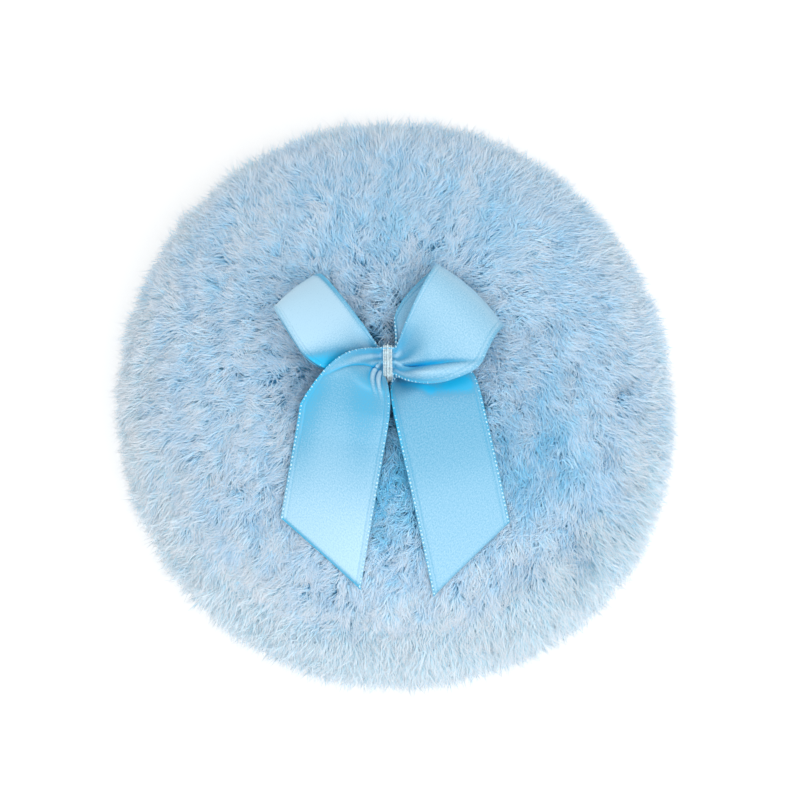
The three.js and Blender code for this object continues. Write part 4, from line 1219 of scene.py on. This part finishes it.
class PUFF_OT_ribbon(bpy.types.Operator):
    """Makes the satin ribbon of the bow with its woven edges"""

    bl_idname = "puff.make_ribbon"
    bl_label = "Ribbon"

    def execute(self, context):
        """The middle surface is moved half the thickness along its normal to each side; the woven edges are a little
        thicker, with a shallow groove inside them."""
        pad, bow = context.scene.puff_pad, context.scene.puff_bow
        u = ribbon_columns()
        grid, painted_light_and_tone = ribbon_grid(pad, bow, u)
        frames = sheet_frames(grid)
        out = np.abs(u)
        rib = 1 + 0.4 * ease(out, 0.88, 0.03) - 0.25 * bell((out - EDGE_GROOVE) / 0.012)
        # Painted shade in the groove inside the woven edges, and a deeper colour towards the edges
        painted_light_and_tone = painted_light_and_tone - 0.2 * bell((out - EDGE_GROOVE) / 0.015)
        painted_light_and_tone = painted_light_and_tone - 0.3 * ease(out, 0.92, 0.04)
        reach = (bow.ribbon_thickness / 2 * rib)[None, :, None] * frames[2]
        faces, rim = sheet_faces(*grid.shape[:2])
        way = running_length(grid[:, len(u) // 2])
        length = way[-1]
        uv = sheet_card(u, way / length, faces, rim)
        ribbon = put_mesh("satin_bow_ribbon", np.concatenate([grid + reach, grid - reach]), faces, uv)
        # Painted light and shade, with a deeper tone towards the edges, for the satin's colour ramp
        lie = ribbon.data.attributes.new("painted_light_and_tone", "FLOAT", "POINT")
        lie.data.foreach_set("value", np.tile(painted_light_and_tone.ravel(), 2).astype(np.float32))
        finish_piece(ribbon, satin_material(bow), "satin", "bow", "bow_ribbon")
        picots, count = edge_picots(bow, grid, frames)
        finish_piece(picots, picot_material(bow), "satin", "bow", "bow_ribbon")
        print("ribbon length", round(float(length) / MM, 1), "mm, picots", count)
        return {"FINISHED"}


# Stage

def area_lamp(name, place, power, colour):
    """Square lamp at a place, facing the pad."""
    data = bpy.data.lights.new(name, "AREA")
    data.size, data.energy, data.color = LAMP_SIZE, power, colour
    lamp = bpy.data.objects.new(name, data)
    bpy.context.scene.collection.objects.link(lamp)
    lamp.location = place
    lamp.rotation_mode = "QUATERNION"
    lamp.rotation_quaternion = (Vector(place) - Vector(LAMP_AIM)).to_track_quat("Z", "Y")


def seen_directly(tree):
    """Output that is one for a camera, glossy or transmission ray and nothing for other rays."""
    path = node(tree, "ShaderNodeLightPath")
    seen = path.outputs["Is Camera Ray"]
    for kind in ("Is Glossy Ray", "Is Transmission Ray"):
        seen = node(tree, "ShaderNodeMath", {0: seen, 1: path.outputs[kind]}, operation="MAXIMUM").outputs["Value"]
    return seen


class PUFF_OT_stage(bpy.types.Operator):
    """Sets the camera, the white floor and the soft light"""

    bl_idname = "puff.make_stage"
    bl_label = "Stage"

    def execute(self, context):
        stage, pad_height = context.scene.puff_stage, context.scene.puff_pad.seam_height
        data = bpy.data.cameras.new("camera")
        data.sensor_width, data.lens = 36, stage.lens
        data.clip_start, data.clip_end = 0.01, 10
        camera = bpy.data.objects.new("camera", data)
        context.scene.collection.objects.link(camera)
        e = stage.elevation
        up, back = np.array([0, math.sin(e), math.cos(e)]), np.array([0, -math.cos(e), math.sin(e)])
        aim = np.array([AIM_X, 0, pad_height]) + AIM_LIFT * up
        camera.location = (aim + stage.distance * back).tolist()
        camera.rotation_euler = (math.pi / 2 - e, 0, 0)
        context.scene.camera = camera

        side = np.linspace(-FLOOR_HALF, FLOOR_HALF, 3)
        x, y = np.meshgrid(side, side, indexing="ij")
        corner = np.array([[0, 3, 4, 1], [1, 4, 5, 2], [3, 6, 7, 4], [4, 7, 8, 5]])
        floor = put_mesh("floor", np.stack([x, y, 0 * x - FLOOR_DROP], -1), corner)
        material, tree, shader = principled("white_floor", Roughness=0.9, Base_Color=linear(stage.floor))
        place = node(tree, "ShaderNodeTexCoord").outputs["Object"]
        away = node(tree, "ShaderNodeVectorMath", {0: place}, operation="LENGTH").outputs["Value"]
        rise = node(tree, "ShaderNodeMapRange", {"Value": away, **FLOOR_LIFT}).outputs["Result"]
        lift = node(tree, "ShaderNodeMath", {0: seen_directly(tree), 1: rise}, operation="MULTIPLY")
        plug(tree, shader, {"Emission Color": WHITE, "Emission Strength": lift.outputs["Value"]})
        floor.data.materials.append(material)

        world = bpy.data.worlds.new("studio")
        context.scene.world = world
        world.use_nodes = True
        tree = world.node_tree
        white = node(tree, "ShaderNodeMapRange", {"Value": seen_directly(tree), "To Min": stage.sky})
        plug(tree, tree.nodes["Background"], {"Color": WHITE, "Strength": white.outputs["Result"]})
        for name, (place, share, colour) in LAMPS.items():
            area_lamp(name, place, share * stage.key_power, colour)
        context.scene.view_settings.view_transform = "Standard"
        return {"FINISHED"}


class PUFF_PT_panel(bpy.types.Panel):
    """Lists the pieces of the puff"""

    bl_label = "Powder puff"
    bl_idname = "PUFF_PT_panel"
    bl_space_type = "VIEW_3D"
    bl_region_type = "UI"
    bl_category = "Puff"

    def draw(self, context):
        for operator in PIECES:
            self.layout.operator(operator.bl_idname)
        for group in (context.scene.puff_pad, context.scene.puff_bow, context.scene.puff_stage):
            box = self.layout.box()
            for key in group.__annotations__:
                box.prop(group, key)


PIECES = (
    PUFF_OT_stage,
    PUFF_OT_covers,
    PUFF_OT_filling,
    PUFF_OT_seam,
    PUFF_OT_pile,
    PUFF_OT_ribbon,
    PUFF_OT_bow_threads,
)
CLASSES = (PuffPadSettings, PuffBowSettings, PuffStageSettings, *PIECES, PUFF_PT_panel)


def register():
    """Adds the classes and the settings of the scene."""
    for cls in CLASSES:
        bpy.utils.register_class(cls)
    bpy.types.Scene.puff_pad = PointerProperty(type=PuffPadSettings)
    bpy.types.Scene.puff_bow = PointerProperty(type=PuffBowSettings)
    bpy.types.Scene.puff_stage = PointerProperty(type=PuffStageSettings)


def unregister():
    """Takes the settings and the classes away again."""
    del bpy.types.Scene.puff_stage, bpy.types.Scene.puff_bow, bpy.types.Scene.puff_pad
    for cls in reversed(CLASSES):
        bpy.utils.unregister_class(cls)


def main():
    """Makes the whole puff on its stage."""
    register()
    bpy.ops.puff.make_stage()
    bpy.ops.puff.make_covers()
    bpy.ops.puff.make_filling()
    bpy.ops.puff.make_seam()
    bpy.ops.puff.make_pile()
    bpy.ops.puff.make_ribbon()
    bpy.ops.puff.make_bow_threads()


if __name__ == "__main__":
    main()
